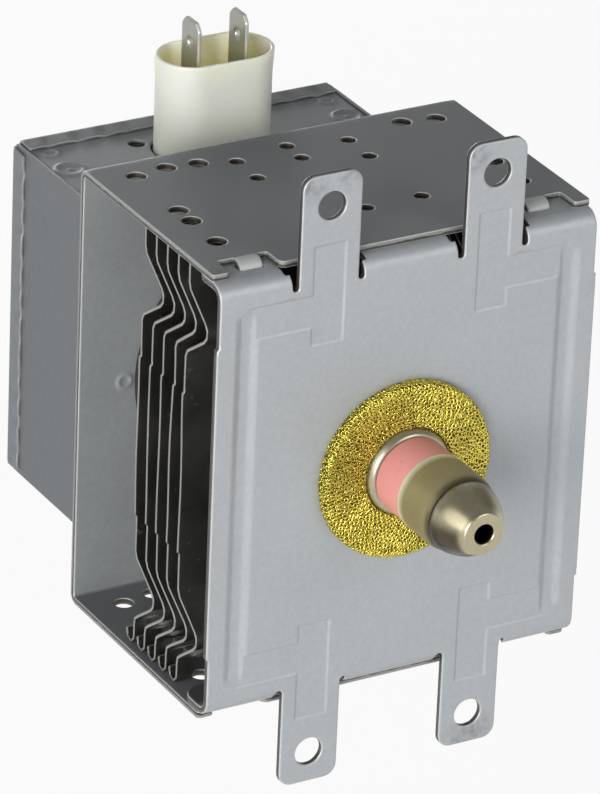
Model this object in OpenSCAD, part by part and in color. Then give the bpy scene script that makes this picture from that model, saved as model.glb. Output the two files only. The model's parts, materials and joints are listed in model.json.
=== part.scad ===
// Cooker magnetron: a finned, permanent-magnet microwave tube in a folded steel yoke, with a filter box.
// The origin is where the antenna axis meets the front face of the front plate.
// The antenna points to -Y, the filter box is at +Y, the blade terminals stand up along +Z.

/* [Yoke] */
// Width of the yoke and of the front plate, across the air path
yoke_w = 77.6; // [74:0.2:90]
// Outer height of the yoke
yoke_h = 89; // [86:0.5:100]
// Depth from the face of the front plate to the outer face of the yoke's back
yoke_d = 53.2; // [51:0.2:58]
// Thickness of the yoke and front plate sheet
sheet = 1.4; // [1.1:0.1:1.7]
// Outer radius of the two rear folds
fold_r = 1.9; // [1.8:0.1:4]
// Diameter of the large holes in the top and bottom
large_hole_d = 3.7; // [2.5:0.1:4.5]
// Diameter of the small holes in the top and bottom
small_hole_d = 2.9; // [2:0.1:3.5]
// Width of each tongue that locks the yoke to the front plate
tongue_w = 4.6; // [3:0.1:6]

/* [Front plate] */
// Spacing of the mounting holes across the plate
hole_pitch_x = 33.8; // [30:0.2:36]
// Spacing of the mounting holes up the plate
hole_pitch_z = 110; // [108:0.5:124]
// Diameter of the mounting holes
hole_d = 5.6; // [4.5:0.1:6.5]
// Width of each mounting tab
tab_w = 12; // [11:0.5:13]
// Length of tab past the centre of its hole
tab_end = 6.2; // [5:0.1:8]
// Corner radius of the tabs
tab_corner_r = 2.6; // [1:0.1:4]
// Outer radius of the rolled top and bottom edges
roll_r = 3.1; // [2.4:0.1:3.9]
// Depth of the flanges behind the rolled edges
flange_d = 10; // [8.5:0.5:11]
// Depth of the pressed beads
bead_depth = 0.3; // [0.2:0.05:0.6]

/* [Gasket and antenna] */
// Outer diameter of the knitted gasket
gasket_d = 35; // [32:0.2:40]
// Height of the gasket in front of the plate
gasket_h = 2.6; // [2:0.1:3.4]
// Outer diameter of the metal sleeve through the magnet
seal_d = 17.6; // [17:0.1:20]
// Outer diameter of the output ceramic
ceramic_d = 14.9; // [14:0.1:15.6]
// Outer diameter of the antenna cap
cap_d = 15.2; // [14.4:0.1:17]
// Distance from the plate to the tip of the antenna cap
antenna_l = 29.2; // [28:0.2:33]
// Diameter of the hole in the cap's tip
tip_hole_d = 3.8; // [2:0.1:5]

/* [Tube and magnets] */
// Outer diameter of the ring magnets
magnet_d = 55; // [48:0.5:58]
// Length of the anode with the flanges of its two end seals
tube_l = 26.6; // [26:0.2:28]
// Outer diameter of the anode cylinder
anode_d = 38.6; // [37:0.1:40]
// Wall of the anode cylinder
anode_wall = 2; // [1.6:0.1:2.6]
// Thickness of each anode vane
vane_t = 2; // [1.2:0.1:2.4]
// Height of the vanes along the tube
vane_h = 9.5; // [8.5:0.1:10]
// Diameter of the space that the vane tips leave for the cathode
cathode_space_d = 9.1; // [8.8:0.1:9.6]

/* [Cooling fins] */
// Spacing of the fins along the tube
fin_pitch = 4.15; // [3.8:0.05:4.2]
// Thickness of a fin
fin_t = 0.6; // [0.4:0.05:0.8]
// Gap between a fin's edge and the side of the yoke
fin_inset = 1.35; // [0.5:0.05:3]
// How far each leg swings forward at its elbow
leg_throw = 7.6; // [5:0.1:8]

/* [Filter box] */
// Width and height of the box
box_w = 67.4; // [64:0.2:72]
// Depth of the box with its lid
box_d = 36.1; // [35:0.1:42]
// Thickness of the box sheet
box_sheet = 0.8; // [0.5:0.05:1]
// Thickness of the lid sheet
lid_sheet = 0.6; // [0.4:0.05:0.8]
// Width of the crimped rim of the lid
lid_rim = 4.5; // [3:0.1:6]

/* [Connector] */
// Length of the oval shroud
shroud_l = 23.1; // [22.4:0.1:25]
// Width of the oval shroud
shroud_w = 13.2; // [12.6:0.1:15]
// Height of the shroud above the box
shroud_h = 18.8; // [16:0.1:21]
// Wall of the shroud
shroud_wall = 0.8; // [0.7:0.05:1.2]
// Distance between the two blade terminals
blade_pitch = 10; // [9:0.1:11]
// Width of a blade terminal
blade_w = 6.35; // [4.8:0.05:6.4]
// Thickness of a blade terminal
blade_t = 0.8; // [0.5:0.05:1]
// Height of a blade's tip above the shroud's rim
blade_out = 7; // [5:0.1:7.5]

/* [Hidden] */
$fn = 64;
eps = 0.01;

// Clearances between pieces that slip over or through each other
slip = 0.1;
loose = 0.5;
touch = 0.05;

// Yoke and plate
side = yoke_w / 2;
half_h = yoke_h / 2;
inner_top = half_h - sheet;
back_in = yoke_d - sheet;
lip_gap = 1.6;
lip_y = sheet + lip_gap;
// Each spot is a distance in from the side edge and a distance forward from the back
large_spots = [[7.45, 7.4], [14.15, 6.25], [7.45, 23.5], [7.45, 28.3], [7.45, 37.8]];
lone_spot = [20.35, 7];
// Each spot is a distance from the middle and a distance forward from the back
small_spots = [[11.65, 9.2], [11.65, 17], [11.65, 36.1]];
middle_spots = [6.9, 12.6, 36.4];
notch_in = 3.4;
notch_w = 10;
notch_d = 5.1;
tongue_in = notch_in + notch_w * 0.35;
tongue_r = sheet + 1;
tongue_y = 5.3;
tongue_tail = 0.6;
clinch_in = 9.5;
clinch_r = 1.8;
clinch_rise = 0.3;

// Tabs, slits and beads of the front plate
tab_x = hole_pitch_x / 2;
tab_z = hole_pitch_z / 2;
slit_w = 1.3;
slit_top = inner_top - 3.65;
slit_bottom = inner_top - 2.15;
relief_w = 2.3;
bead_bar_w = 6.4;
bead_bar_in = 14.9;
bead_bar_out = 4.5;
bead_arm_z = inner_top - 8.2;
bead_arm_w = 6.2;
bead_groove_in = 4.1;
bead_groove_w = 3.2;
// The plate's sides stand out a little over their middle length
plate_inset = 0.15;
plate_step = 0.4;
plate_step_z = inner_top - 12.1;

// Stack of magnets and tube between the front plate and the yoke's back
magnet_t = (back_in - sheet - tube_l) / 2;
magnet_chamfer = 0.6;
seal_r = seal_d / 2;
seal_wall = 0.6;
seal_flange_t = 0.5;
seal_flange_r = anode_d / 2 - 0.4;
bore_r = seal_r + 1.2;
tube_y0 = sheet + magnet_t;
tube_y1 = tube_y0 + tube_l;
tube_mid = (tube_y0 + tube_y1) / 2;
anode_r = anode_d / 2;
anode_in_r = anode_r - anode_wall;
anode_y0 = tube_y0 + seal_flange_t;
anode_y1 = tube_y1 - seal_flange_t;

// Pole pieces: a rim let into the end of the anode, and a cone whose nose faces the vanes
pole_t = 1.6;
pole_r = anode_in_r + 0.7;
pole_foot_r = 11;
pole_nose_r = 8.2;
pole_hole_r = 4.7;
pole_gap = vane_h + 2.4;

// Vanes and straps
vane_count = 10;
vane_tip_r = cathode_space_d / 2;
strap_w = 0.8;
strap_h = 1.2;
strap_in_r = vane_tip_r + 1.1;
strap_out_r = strap_in_r + strap_w + 0.9;
strap_gap = 0.45;

// Cathode
cathode_l = vane_h + 0.3;
hat_t = 1;
front_hat_r = 3.3;
rear_hat_r = 3.9;
lead_r = 0.8;
side_lead_z = -2.9;
filament_r = 1.9;
filament_wire_r = 0.28;
filament_turns = 8;

// Output window
window_y0 = -(gasket_h + 0.2);
lip_t = 0.7;
ceramic_r = ceramic_d / 2;
ceramic_wall = 1.9;
ceramic_l = 7.8;
ceramic_y1 = window_y0 - lip_t;
ceramic_y0 = ceramic_y1 - ceramic_l;
cap_r = cap_d / 2;
cap_wall = 0.5;
exhaust_r = 4;
exhaust_wall = 0.9;
exhaust_flange_t = 0.6;
pinch_y = ceramic_y0 - 8;
antenna_r = 1.25;
antenna_tap_r = 9.6;

// Fins
fin_count = 5;
fin_shift = -4;
fin_side = side - fin_inset;
fin_fit = 0.03;
fin_step = 0.35;
fin_step_z = 16.3;
fin_bend_r = 1.6;
elbow_r = 2.3;
collar_l = 1.9;
leg_root_z = inner_top - 18.7;
leg_elbow_z = inner_top - 12.2;
leg_foot_z = inner_top - 5.7;
elbow_out = leg_throw + 0.7 * elbow_r;
foot_back = 0.4;
curl_r = 1.35;
curl_tail = 0.8;
leg_w = 17.4;
lug_w = 3.4;

// Filter box
box_half = box_w / 2;
box_y0 = yoke_d;
box_y1 = yoke_d + box_d - lid_sheet;
box_top_in = box_half - box_sheet;
stem_hole_r = seal_r + 1.6;
lid_corner = 2.4;
pierced_hole_d = 3.4;

// Connector: the shroud stands on the capacitor's ground plate, through an oval opening in the box
conn_set_back = 21.2;
conn_y = yoke_d + conn_set_back;
rim_z = box_half + shroud_h;
socket_floor_z = rim_z - 15;
ground_t = 1;
ground_l = shroud_l + 9;
ground_w = shroud_w + 7;
neck_l = 17;
neck_w = 8.4;
capacitor_h = 11.5;
capacitor_bottom = box_top_in - ground_t - capacitor_h;
inner_case_wall = 1.2;
inner_case_drop = 8;
blade_bottom = capacitor_bottom - inner_case_drop - 0.5;
blade_top = rim_z + blade_out;
latch_d = 1.7;
latch_drop = 4.6;

// Stem and chokes inside the box
stem_y0 = yoke_d + 2;
stem_y1 = yoke_d + 10.6;
stem_term_t = 0.8;
stem_term_w = 3.6;
stem_term_reach = 13;
choke_x = 22;
choke_y = yoke_d + 19.6;
choke_r = 3.6;
wire_r = 0.7;
choke_turns = 11.5;
choke_pitch = 1.65;
choke_z0 = -14;
core_r = choke_r - wire_r - slip;
core_over = 1.2;
lead_lap = 2.5;
lead_sweep = 4;
lead_rise = 1;
weld_l = 2.8;
weld_bend = 1.7;

// Vectors and paths
function unit(v) = v / norm(v);
function left_of(v) = [-v[1], v[0]];
function turn(v, a) = [v[0] * cos(a) - v[1] * sin(a), v[0] * sin(a) + v[1] * cos(a)];

// Points of an arc of radius r that rounds the corner at b between a and c
function corner_arc(a, b, c, r, steps) =
    let (
        u = unit(a - b),
        v = unit(c - b),
        open = acos(u * v),
        centre = b + unit(u + v) * r / sin(open / 2),
        start = b + u * r / tan(open / 2) - centre,
        way = u[0] * v[1] - u[1] * v[0] > 0 ? -1 : 1
    )
    [for (k = [0:steps]) centre + turn(start, way * (180 - open) * k / steps)];

// A path of straight runs whose inner corners are rounded, each by its own radius
function rounded_path(p, radii, steps) =
    [
        p[0],
        for (i = [1:len(p) - 2])
            each corner_arc(p[i - 1], p[i], p[i + 1], radii[i - 1], steps),
        p[len(p) - 1]
    ];

// Offset of point i of a path to its left by d, mitred at the corners
function mitre(p, i, d) =
    let (
        n = len(p),
        before = left_of(unit(p[max(i, 1)] - p[max(i, 1) - 1])),
        after = left_of(unit(p[min(i + 1, n - 1)] - p[min(i, n - 2)])),
        both = unit(before + after)
    )
    p[i] + both * d / (both * before);

// Outline of a sheet of thickness t that follows a path
function sheet_outline(p, t) =
    concat(
        [for (i = [0:len(p) - 1]) mitre(p, i, t / 2)],
        [for (i = [len(p) - 1:-1:0]) mitre(p, i, -t / 2)]
    );

// Directions along a wire's path, and sideways directions carried along it without twist
function along(p, i) = unit(p[min(i + 1, len(p) - 1)] - p[max(i - 1, 0)]);
function sideways(p, i = 0, found = []) =
    i == len(p) ? found :
    let (
        t = along(p, i),
        guess = i > 0 ? found[i - 1] : (abs(t[2]) < 0.8 ? [0, 0, 1] : [1, 0, 0])
    )
    sideways(p, i + 1, concat(found, [unit(guess - (guess * t) * t)]));

// Round wire of radius r along a path
module wire(p, r, sides) {
    side_dirs = sideways(p);
    n = len(p);
    points = [
        for (i = [0:n - 1])
            let (u = side_dirs[i], v = cross(along(p, i), u))
            for (k = [0:sides - 1])
                p[i] + r * (u * cos(360 * k / sides) + v * sin(360 * k / sides))
    ];
    skin = [
        for (i = [0:n - 2])
            for (k = [0:sides - 1])
                let (next = (k + 1) % sides)
                [i * sides + k, (i + 1) * sides + k, (i + 1) * sides + next, i * sides + next]
    ];
    first = [for (k = [0:sides - 1]) k];
    last = [for (k = [sides - 1:-1:0]) (n - 1) * sides + k];
    polyhedron(points, concat([first, last], skin));
}

// Placing of flat outlines
// Outline in (y, z), extruded across x
module across(w) {
    rotate([90, 0, 90])
        linear_extrude(height = w, center = true)
            children();
}

// Outline in (x, z), extruded back from y0
module facing(y0, t) {
    translate([0, y0 + t, 0])
        rotate([90, 0, 0])
            linear_extrude(height = t)
                children();
}

// Outline in (radius, y), turned about the tube's axis
module turned() {
    rotate([-90, 0, 0])
        rotate_extrude()
            children();
}

// Cylinder along the tube's axis from y0 to y1
module rod(r, y0, y1) {
    translate([0, y0, 0])
        rotate([-90, 0, 0])
            cylinder(r = r, h = y1 - y0);
}

module tube(r_out, r_in, y0, y1) {
    difference() {
        rod(r_out, y0, y1);
        rod(r_in, y0 - 1, y1 + 1);
    }
}

// Oval with round ends, l long and w wide
module oval(l, w) {
    square([l - w, w], center = true);
    for (s = [-1, 1])
        translate([s * (l - w) / 2, 0])
            circle(d = w);
}

// Rectangle from y0 to y1, with its corners at y1 rounded
module round_backed(y0, y1, half, r) {
    translate([y0, -half])
        square([y1 - y0 - r, 2 * half]);
    translate([y0, r - half])
        square([y1 - y0, 2 * (half - r)]);
    for (s = [-1, 1])
        translate([y1 - r, s * (half - r)])
            circle(r);
}

// Ring of outer radius r pressed up from a sheet where two sheets are clinched
module clinch(r) {
    rotate_extrude()
        polygon([
            [r - 0.9, -eps],
            [r - 0.6, clinch_rise],
            [r - 0.3, clinch_rise],
            [r, -eps]
        ]);
}

// Yoke
module yoke_section() {
    difference() {
        round_backed(lip_y, yoke_d, half_h, fold_r);
        round_backed(lip_y - 1, back_in, inner_top, fold_r - sheet);
    }
}

// Section of a tongue that dips through the front plate's flange
module tongue_section() {
    bend_y = tongue_y + tongue_r;
    bend_z = half_h - tongue_r;
    translate([bend_y, inner_top])
        square([notch_d + lip_y - bend_y + eps, sheet]);
    intersection() {
        translate([bend_y, bend_z])
            difference() {
                circle(tongue_r);
                circle(tongue_r - sheet);
            }
        translate([tongue_y - 1, bend_z])
            square([tongue_r + 1, tongue_r + 1]);
    }
    translate([tongue_y, inner_top - sheet - tongue_tail])
        square([sheet, bend_z - inner_top + sheet + tongue_tail]);
}

module yoke_holes() {
    for (s = [-1, 1]) {
        for (spot = large_spots)
            translate([s * (side - spot[0]), yoke_d - spot[1], -half_h - 1])
                cylinder(d = large_hole_d, h = yoke_h + 2);
        for (spot = small_spots)
            translate([s * spot[0], yoke_d - spot[1], -half_h - 1])
                cylinder(d = small_hole_d, h = yoke_h + 2);
    }
    translate([lone_spot[0] - side, yoke_d - lone_spot[1], -half_h - 1])
        cylinder(d = large_hole_d, h = yoke_h + 2);
    for (from_back = middle_spots)
        translate([0, yoke_d - from_back, -half_h - 1])
            cylinder(d = small_hole_d, h = yoke_h + 2);
}

module yoke_frame() {
    color("#8b9094")
        union() {
            difference() {
                across(yoke_w)
                    yoke_section();
                yoke_holes();
                for (s = [-1, 1])
                    translate([s * (side - notch_in - notch_w / 2) - notch_w / 2, 0, -half_h - 1])
                        cube([notch_w, lip_y + notch_d, yoke_h + 2]);
                rod(stem_hole_r, back_in - 1, yoke_d + 1);
            }
            for (s = [-1, 1], up = [0, 1])
                mirror([0, 0, up])
                    translate([s * (side - tongue_in - tongue_w / 2), 0, 0])
                        across(tongue_w)
                            tongue_section();
            for (s = [-1, 1])
                translate([s * (side - clinch_in), back_in, 0])
                    rotate([90, 0, 0])
                        clinch(clinch_r);
        }
}

// Front plate
module plate_section() {
    difference() {
        mirror([1, 0])
            round_backed(-flange_d, 0, inner_top, roll_r);
        mirror([1, 0])
            round_backed(-flange_d - 1, -sheet, inner_top - sheet, roll_r - sheet);
    }
}

// Half of a tab, from the middle of the plate up past its hole
module tab_outline() {
    straight = tab_z + tab_end - tab_corner_r;
    translate([-tab_w / 2, 0])
        square([tab_w, straight]);
    translate([tab_corner_r - tab_w / 2, 0])
        square([tab_w - 2 * tab_corner_r, tab_z + tab_end]);
    for (s = [-1, 1])
        translate([s * (tab_w / 2 - tab_corner_r), straight])
            circle(tab_corner_r);
}

// Cut that frees one tab from the rolled edge: a slot with a round end on each side of it
module tab_slits(end) {
    for (s = [-1, 1])
        translate([s * (tab_w + slit_w) / 2, end + slit_w / 2]) {
            circle(d = slit_w);
            translate([-slit_w / 2, 0])
                square([slit_w, half_h]);
        }
}

// One bead: a bar up each tab, an arm out from it and a groove beside the plate's edge
module bead_outline() {
    groove_x = side - bead_groove_in - bead_groove_w;
    for (up = [0, 1])
        mirror([0, up]) {
            translate([tab_x - bead_bar_w / 2, inner_top - bead_bar_in])
                square([bead_bar_w, bead_bar_in + bead_bar_out]);
            translate([tab_x, bead_arm_z - bead_arm_w / 2])
                square([groove_x + bead_groove_w / 2 - tab_x, bead_arm_w]);
            translate([groove_x, 0])
                square([bead_groove_w, bead_arm_z]);
            translate([groove_x + bead_groove_w / 2, bead_arm_z])
                circle(d = bead_groove_w);
        }
}

module both_beads() {
    for (s = [0, 1])
        mirror([s, 0])
            bead_outline();
}

module front_plate() {
    color("#b4b8ba")
        difference() {
            union() {
                difference() {
                    across(yoke_w - 2 * plate_inset)
                        plate_section();
                    // Room for the tabs and their slits
                    for (s = [-1, 1]) {
                        translate([s * tab_x - tab_w / 2 - relief_w, sheet, -half_h])
                            cube([tab_w + 2 * relief_w, flange_d, yoke_h]);
                        translate([s * tab_x - tab_w / 2, -1, inner_top - roll_r])
                            cube([tab_w, flange_d, roll_r + 1]);
                        translate([s * tab_x - tab_w / 2, -1, -inner_top - 1])
                            cube([tab_w, flange_d, roll_r + 1]);
                        translate([s * tab_x, 0, 0]) {
                            facing(-1, flange_d + 2)
                                tab_slits(slit_top);
                            mirror([0, 0, 1])
                                facing(-1, flange_d + 2)
                                    tab_slits(slit_bottom);
                        }
                        // Slots for the tongues of the yoke
                        translate([
                            s * (side - tongue_in - tongue_w / 2) - tongue_w / 2 - slip,
                            tongue_y - slip,
                            -half_h
                        ])
                            cube([tongue_w + 2 * slip, tongue_r + 2 * slip, yoke_h]);
                    }
                }
                for (s = [-1, 1], up = [0, 1])
                    mirror([0, 0, up])
                        translate([s * tab_x, 0, 0])
                            facing(0, sheet)
                                tab_outline();
                facing(0, sheet)
                    square([yoke_w + 2 * (plate_step - plate_inset), 2 * plate_step_z], center = true);
                facing(sheet - eps, bead_depth + eps)
                    both_beads();
            }
            facing(-1, 1 + bead_depth)
                both_beads();
            for (sx = [-1, 1], sz = [-1, 1])
                translate([sx * tab_x, 0, sz * tab_z])
                    rod(hole_d / 2, -1, sheet + 1);
            rod(bore_r, -1, sheet + 1);
        }
}

// Gasket
module rf_gasket() {
    inner_r = seal_r + slip;
    outer_r = gasket_d / 2;
    edge_r = gasket_h * 0.4;
    color("#c9a227")
        turned() {
            translate([inner_r, -(gasket_h - edge_r)])
                square([outer_r - inner_r, gasket_h - edge_r]);
            translate([inner_r + edge_r, -gasket_h])
                square([outer_r - inner_r - 2 * edge_r, gasket_h]);
            for (r = [inner_r + edge_r, outer_r - edge_r])
                translate([r, edge_r - gasket_h])
                    circle(edge_r);
        }
}

// Magnets
module ring_magnet(y0) {
    r = magnet_d / 2;
    c = magnet_chamfer;
    color("#3b3a3c")
        turned()
            translate([0, y0])
                polygon([
                    [bore_r, 0],
                    [r - c, 0],
                    [r, c],
                    [r, magnet_t - c],
                    [r - c, magnet_t],
                    [bore_r, magnet_t]
                ]);
}

module front_magnet() {
    ring_magnet(sheet);
}

module rear_magnet() {
    ring_magnet(tube_y1);
}

// Anode with its vanes and straps
module anode_cylinder() {
    color("#b87333")
        difference() {
            tube(anode_r, anode_in_r, anode_y0, anode_y1);
            rod(pole_r, anode_y0 - 1, anode_y0 + pole_t);
            rod(pole_r, anode_y1 - pole_t, anode_y1 + 1);
        }
}

// Vane of half height h in (radius, y), notched at each end for the two straps
module vane_section(carries_inner) {
    h = vane_h / 2;
    inner_depth = strap_h + (carries_inner ? 0 : strap_gap);
    outer_depth = strap_h + (carries_inner ? strap_gap : 0);
    between_r = (strap_in_r + strap_w + strap_out_r) / 2;
    difference() {
        translate([vane_tip_r, -h])
            square([anode_in_r - vane_tip_r, vane_h]);
        for (up = [0, 1])
            mirror([0, up]) {
                translate([strap_in_r - strap_gap, h - inner_depth])
                    square([between_r - strap_in_r + strap_gap, inner_depth + 1]);
                translate([between_r, h - outer_depth])
                    square([strap_out_r + strap_w + strap_gap - between_r, outer_depth + 1]);
            }
    }
}

// Vane k, counted round from the top, joins the inner straps if k is odd and the outer ones if even
module anode_vane(k) {
    color("#c17f45")
        translate([0, tube_mid, 0])
            rotate([0, (k - 1) * 360 / vane_count, 0])
                rotate([0, -90, 0])
                    linear_extrude(height = vane_t, center = true)
                        intersection() {
                            vane_section(k % 2 == 1);
                            translate([0, -vane_h])
                                square([sqrt(pow(anode_in_r, 2) - pow(vane_t / 2, 2)), 2 * vane_h]);
                        }
}

module strap(r, end) {
    color("#cc8a4e")
        tube(
            r + strap_w, r,
            tube_mid + end * (vane_h - strap_h) / 2 - strap_h / 2,
            tube_mid + end * (vane_h - strap_h) / 2 + strap_h / 2
        );
}

// Pole piece in (radius, distance in from the end of the anode)
module pole_section() {
    nose = (anode_y1 - anode_y0 - pole_gap) / 2;
    polygon([
        [pole_r - touch, 0],
        [pole_r - touch, pole_t],
        [pole_foot_r, pole_t],
        [pole_nose_r, nose],
        [pole_hole_r, nose],
        [pole_hole_r, nose - pole_t],
        [pole_nose_r - 1, nose - pole_t],
        [pole_foot_r - 1, 0]
    ]);
}

module front_pole_piece() {
    color("#77797c")
        difference() {
            translate([0, anode_y0, 0])
                turned()
                    pole_section();
            translate([0, 0, antenna_tap_r])
                rod(2 * antenna_r, tube_y0, tube_mid);
        }
}

module rear_pole_piece() {
    color("#77797c")
        translate([0, anode_y1, 0])
            mirror([0, 1, 0])
                turned()
                    pole_section();
}

// Metal seals: drawn sleeves with a wide flange on the end of the anode
module front_metal_seal() {
    color("#a9a7a0")
        turned() {
            translate([seal_r - seal_wall, tube_y0])
                square([seal_flange_r - seal_r + seal_wall, seal_flange_t]);
            translate([seal_r - seal_wall, window_y0])
                square([seal_wall, tube_y0 - window_y0 + eps]);
            translate([ceramic_r - ceramic_wall, window_y0 - lip_t])
                square([seal_r - ceramic_r + ceramic_wall - lip_t, lip_t]);
            intersection() {
                translate([seal_r - lip_t, window_y0])
                    circle(lip_t);
                translate([seal_r - lip_t, window_y0 - lip_t])
                    square(lip_t);
            }
        }
}

module rear_metal_seal() {
    color("#a9a7a0")
        turned() {
            translate([seal_r - seal_wall, tube_y1 - seal_flange_t])
                square([seal_flange_r - seal_r + seal_wall, seal_flange_t]);
            translate([seal_r - seal_wall, tube_y1 - eps])
                square([seal_wall, stem_y0 + 3 - tube_y1]);
        }
}

// Output window, antenna and cap
module output_ceramic() {
    color("#de8c8a")
        tube(ceramic_r, ceramic_r - ceramic_wall, ceramic_y0, ceramic_y1);
}

module exhaust_tube() {
    flange_r = cap_r - cap_wall - slip;
    flange_y = ceramic_y0 - exhaust_flange_t;
    wedge_l = 4;
    color("#b87333")
        union() {
            tube(flange_r, exhaust_r - exhaust_wall, flange_y, ceramic_y0);
            tube(exhaust_r, exhaust_r - exhaust_wall, pinch_y, flange_y);
            // Pinched end, squeezed flat to a sharp edge
            intersection() {
                rod(exhaust_r, pinch_y - wedge_l, pinch_y + eps);
                across(2 * exhaust_r)
                    polygon([
                        [pinch_y + eps, -exhaust_r],
                        [pinch_y + eps, exhaust_r],
                        [pinch_y - wedge_l, 0.3],
                        [pinch_y - wedge_l, -0.3]
                    ]);
            }
        }
}

module antenna_lead() {
    bend_y0 = tube_mid - vane_h / 2 - 2;
    bend_y1 = anode_y0 - 5.4;
    slant = [0, bend_y1 - bend_y0, -antenna_tap_r];
    color("#c98a55")
        union() {
            translate([0, 0, antenna_tap_r])
                rod(antenna_r, bend_y0, tube_mid - vane_h / 2);
            translate([0, bend_y0, antenna_tap_r])
                sphere(antenna_r);
            translate([0, bend_y0, antenna_tap_r])
                rotate([atan2(-slant[1], slant[2]), 0, 0])
                    cylinder(r = antenna_r, h = norm(slant));
            translate([0, bend_y1, 0])
                sphere(antenna_r);
            rod(antenna_r, pinch_y + touch, bend_y1);
        }
}

// Radius of the cap's rounded nose at a share of the way from its shoulder to its tip
function nose_r(share) = (cap_r - 0.55) - (cap_r - 4.2) * pow(share, 1.7);

// Half outline of the cap in (radius, y), open at open_y
module cap_outline(inset, open_y, tip_y) {
    shoulder_y = -antenna_l + 7.9;
    steps = 8;
    polygon(concat(
        [[0, open_y], [cap_r - inset, open_y], [cap_r - inset, shoulder_y + 1.9]],
        [for (k = [0:steps]) [nose_r(k / steps) - inset, shoulder_y + (tip_y - shoulder_y) * k / steps]],
        [[0, tip_y]]
    ));
}

module antenna_cap() {
    color("#a39a80")
        turned()
            difference() {
                cap_outline(0, ceramic_y0, -antenna_l);
                cap_outline(cap_wall, ceramic_y0 + 1, -antenna_l + cap_wall);
                translate([-1, -antenna_l - 1])
                    square([1 + tip_hole_d / 2, 2]);
            }
}

// Cathode
module filament() {
    steps = 12;
    wire_l = cathode_l - 2 * filament_wire_r;
    count = filament_turns * steps;
    color("#5d5a57")
        wire(
            [
                for (k = [0:count])
                    [
                        filament_r * cos(360 * k / steps),
                        tube_mid - wire_l / 2 + wire_l * k / count,
                        filament_r * sin(360 * k / steps)
                    ]
            ],
            filament_wire_r,
            6
        );
}

module front_end_hat() {
    y1 = tube_mid - cathode_l / 2;
    color("#6f6d6a")
        rod(front_hat_r, y1 - hat_t, y1);
}

module rear_end_hat() {
    y0 = tube_mid + cathode_l / 2;
    color("#6f6d6a")
        tube(rear_hat_r, lead_r + 0.7, y0, y0 + hat_t);
}

module center_lead() {
    color("#7d7b78")
        rod(lead_r, tube_mid - cathode_l / 2, stem_y1 + stem_term_t);
}

module side_lead() {
    color("#7d7b78")
        translate([0, 0, side_lead_z])
            rod(lead_r, tube_mid + cathode_l / 2 + hat_t, stem_y1 + stem_term_t);
}

// Stem that carries the cathode leads into the filter box
module stem_ceramic() {
    color("#e4dcd0")
        difference() {
            rod(seal_r - seal_wall - touch, stem_y0, stem_y1);
            rod(lead_r + touch, stem_y0 - 1, stem_y1 + 1);
            translate([0, 0, side_lead_z])
                rod(lead_r + touch, stem_y0 - 1, stem_y1 + 1);
        }
}

// Strip on the stem, from a lead at height z out to the side way
module stem_terminal(z, way) {
    color("#b9b6ad")
        difference() {
            union() {
                translate([0, 0, z])
                    rod(stem_term_w / 2 - 1.2 + touch, stem_y1, stem_y1 + stem_term_t);
                translate([min(0, way * stem_term_reach), stem_y1, z - lead_r - 0.2])
                    cube([stem_term_reach, stem_term_t, 2 * lead_r + 0.4]);
            }
            translate([0, 0, z])
                rod(lead_r + touch, stem_y1 - 1, stem_y1 + stem_term_t + 1);
        }
}

// Route of a choke's wire on the right-hand side: from the stem, up the coil, to the blade
function choke_route(stem_z) =
    let (
        steps = 14,
        count = choke_turns * steps,
        wire_y = stem_y1 + stem_term_t + wire_r,
        top_z = choke_z0 + choke_turns * choke_pitch,
        blade_x = (blade_pitch + blade_t) / 2 + wire_r
    )
    concat(
        [
            [stem_term_reach - lead_lap, wire_y, stem_z],
            [stem_term_reach, wire_y, stem_z],
            [stem_term_reach + lead_lap, wire_y + lead_rise, stem_z / 2 - lead_sweep],
            [choke_x - choke_r, choke_y - choke_r - wire_r, choke_z0 + lead_rise],
            [choke_x - choke_r / 2, choke_y - choke_r, choke_z0 + slip]
        ],
        [
            for (k = [0:count])
                [
                    choke_x + choke_r * cos(270 + 360 * k / steps),
                    choke_y + choke_r * sin(270 + 360 * k / steps),
                    choke_z0 + choke_pitch * k / steps
                ]
        ],
        [
            [choke_x - choke_r / 2, choke_y + choke_r - slip, top_z + 2 * slip],
            [(choke_x + blade_x) / 2, conn_y + lead_rise, (top_z + blade_bottom) / 2],
            [blade_x + weld_bend, conn_y + 2 * slip, blade_bottom + loose],
            [blade_x, conn_y, blade_bottom + loose + weld_bend],
            [blade_x, conn_y, blade_bottom + loose + weld_bend + weld_l]
        ]
    );

module choke_coil(way) {
    color("#b5652b")
        mirror([way < 0 ? 1 : 0, 0, 0])
            wire(choke_route(way < 0 ? side_lead_z : 0), wire_r, 8);
}

module ferrite_core(way) {
    color("#2e2d2f")
        translate([way * choke_x, choke_y, choke_z0 - core_over])
            cylinder(r = core_r, h = choke_turns * choke_pitch + 2 * core_over);
}

// Filter box and lid
module filter_box() {
    color("#858a8f")
        difference() {
            union() {
                translate([-box_half, box_y0, -box_half])
                    cube([box_w, box_y1 - box_y0, box_w]);
                for (s = [-1, 1])
                    translate([s * (box_half - 4.2), box_y1, box_half]) {
                        translate([0, -6.1, 0])
                            clinch(clinch_r);
                        translate([0, -13.9, 0])
                            clinch(clinch_r + 0.5);
                    }
            }
            translate([-box_top_in, box_y0 + box_sheet, -box_top_in])
                cube([2 * box_top_in, box_y1 - box_y0, 2 * box_top_in]);
            rod(stem_hole_r, box_y0 - 1, box_y0 + box_sheet + 1);
            translate([0, conn_y, 0])
                linear_extrude(height = box_half + 1)
                    oval(shroud_l + 2 * loose, shroud_w + 2 * loose);
            translate([-12.8, box_y1 - 8.6, 0])
                cylinder(d = pierced_hole_d, h = box_half + 1);
        }
}

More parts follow.
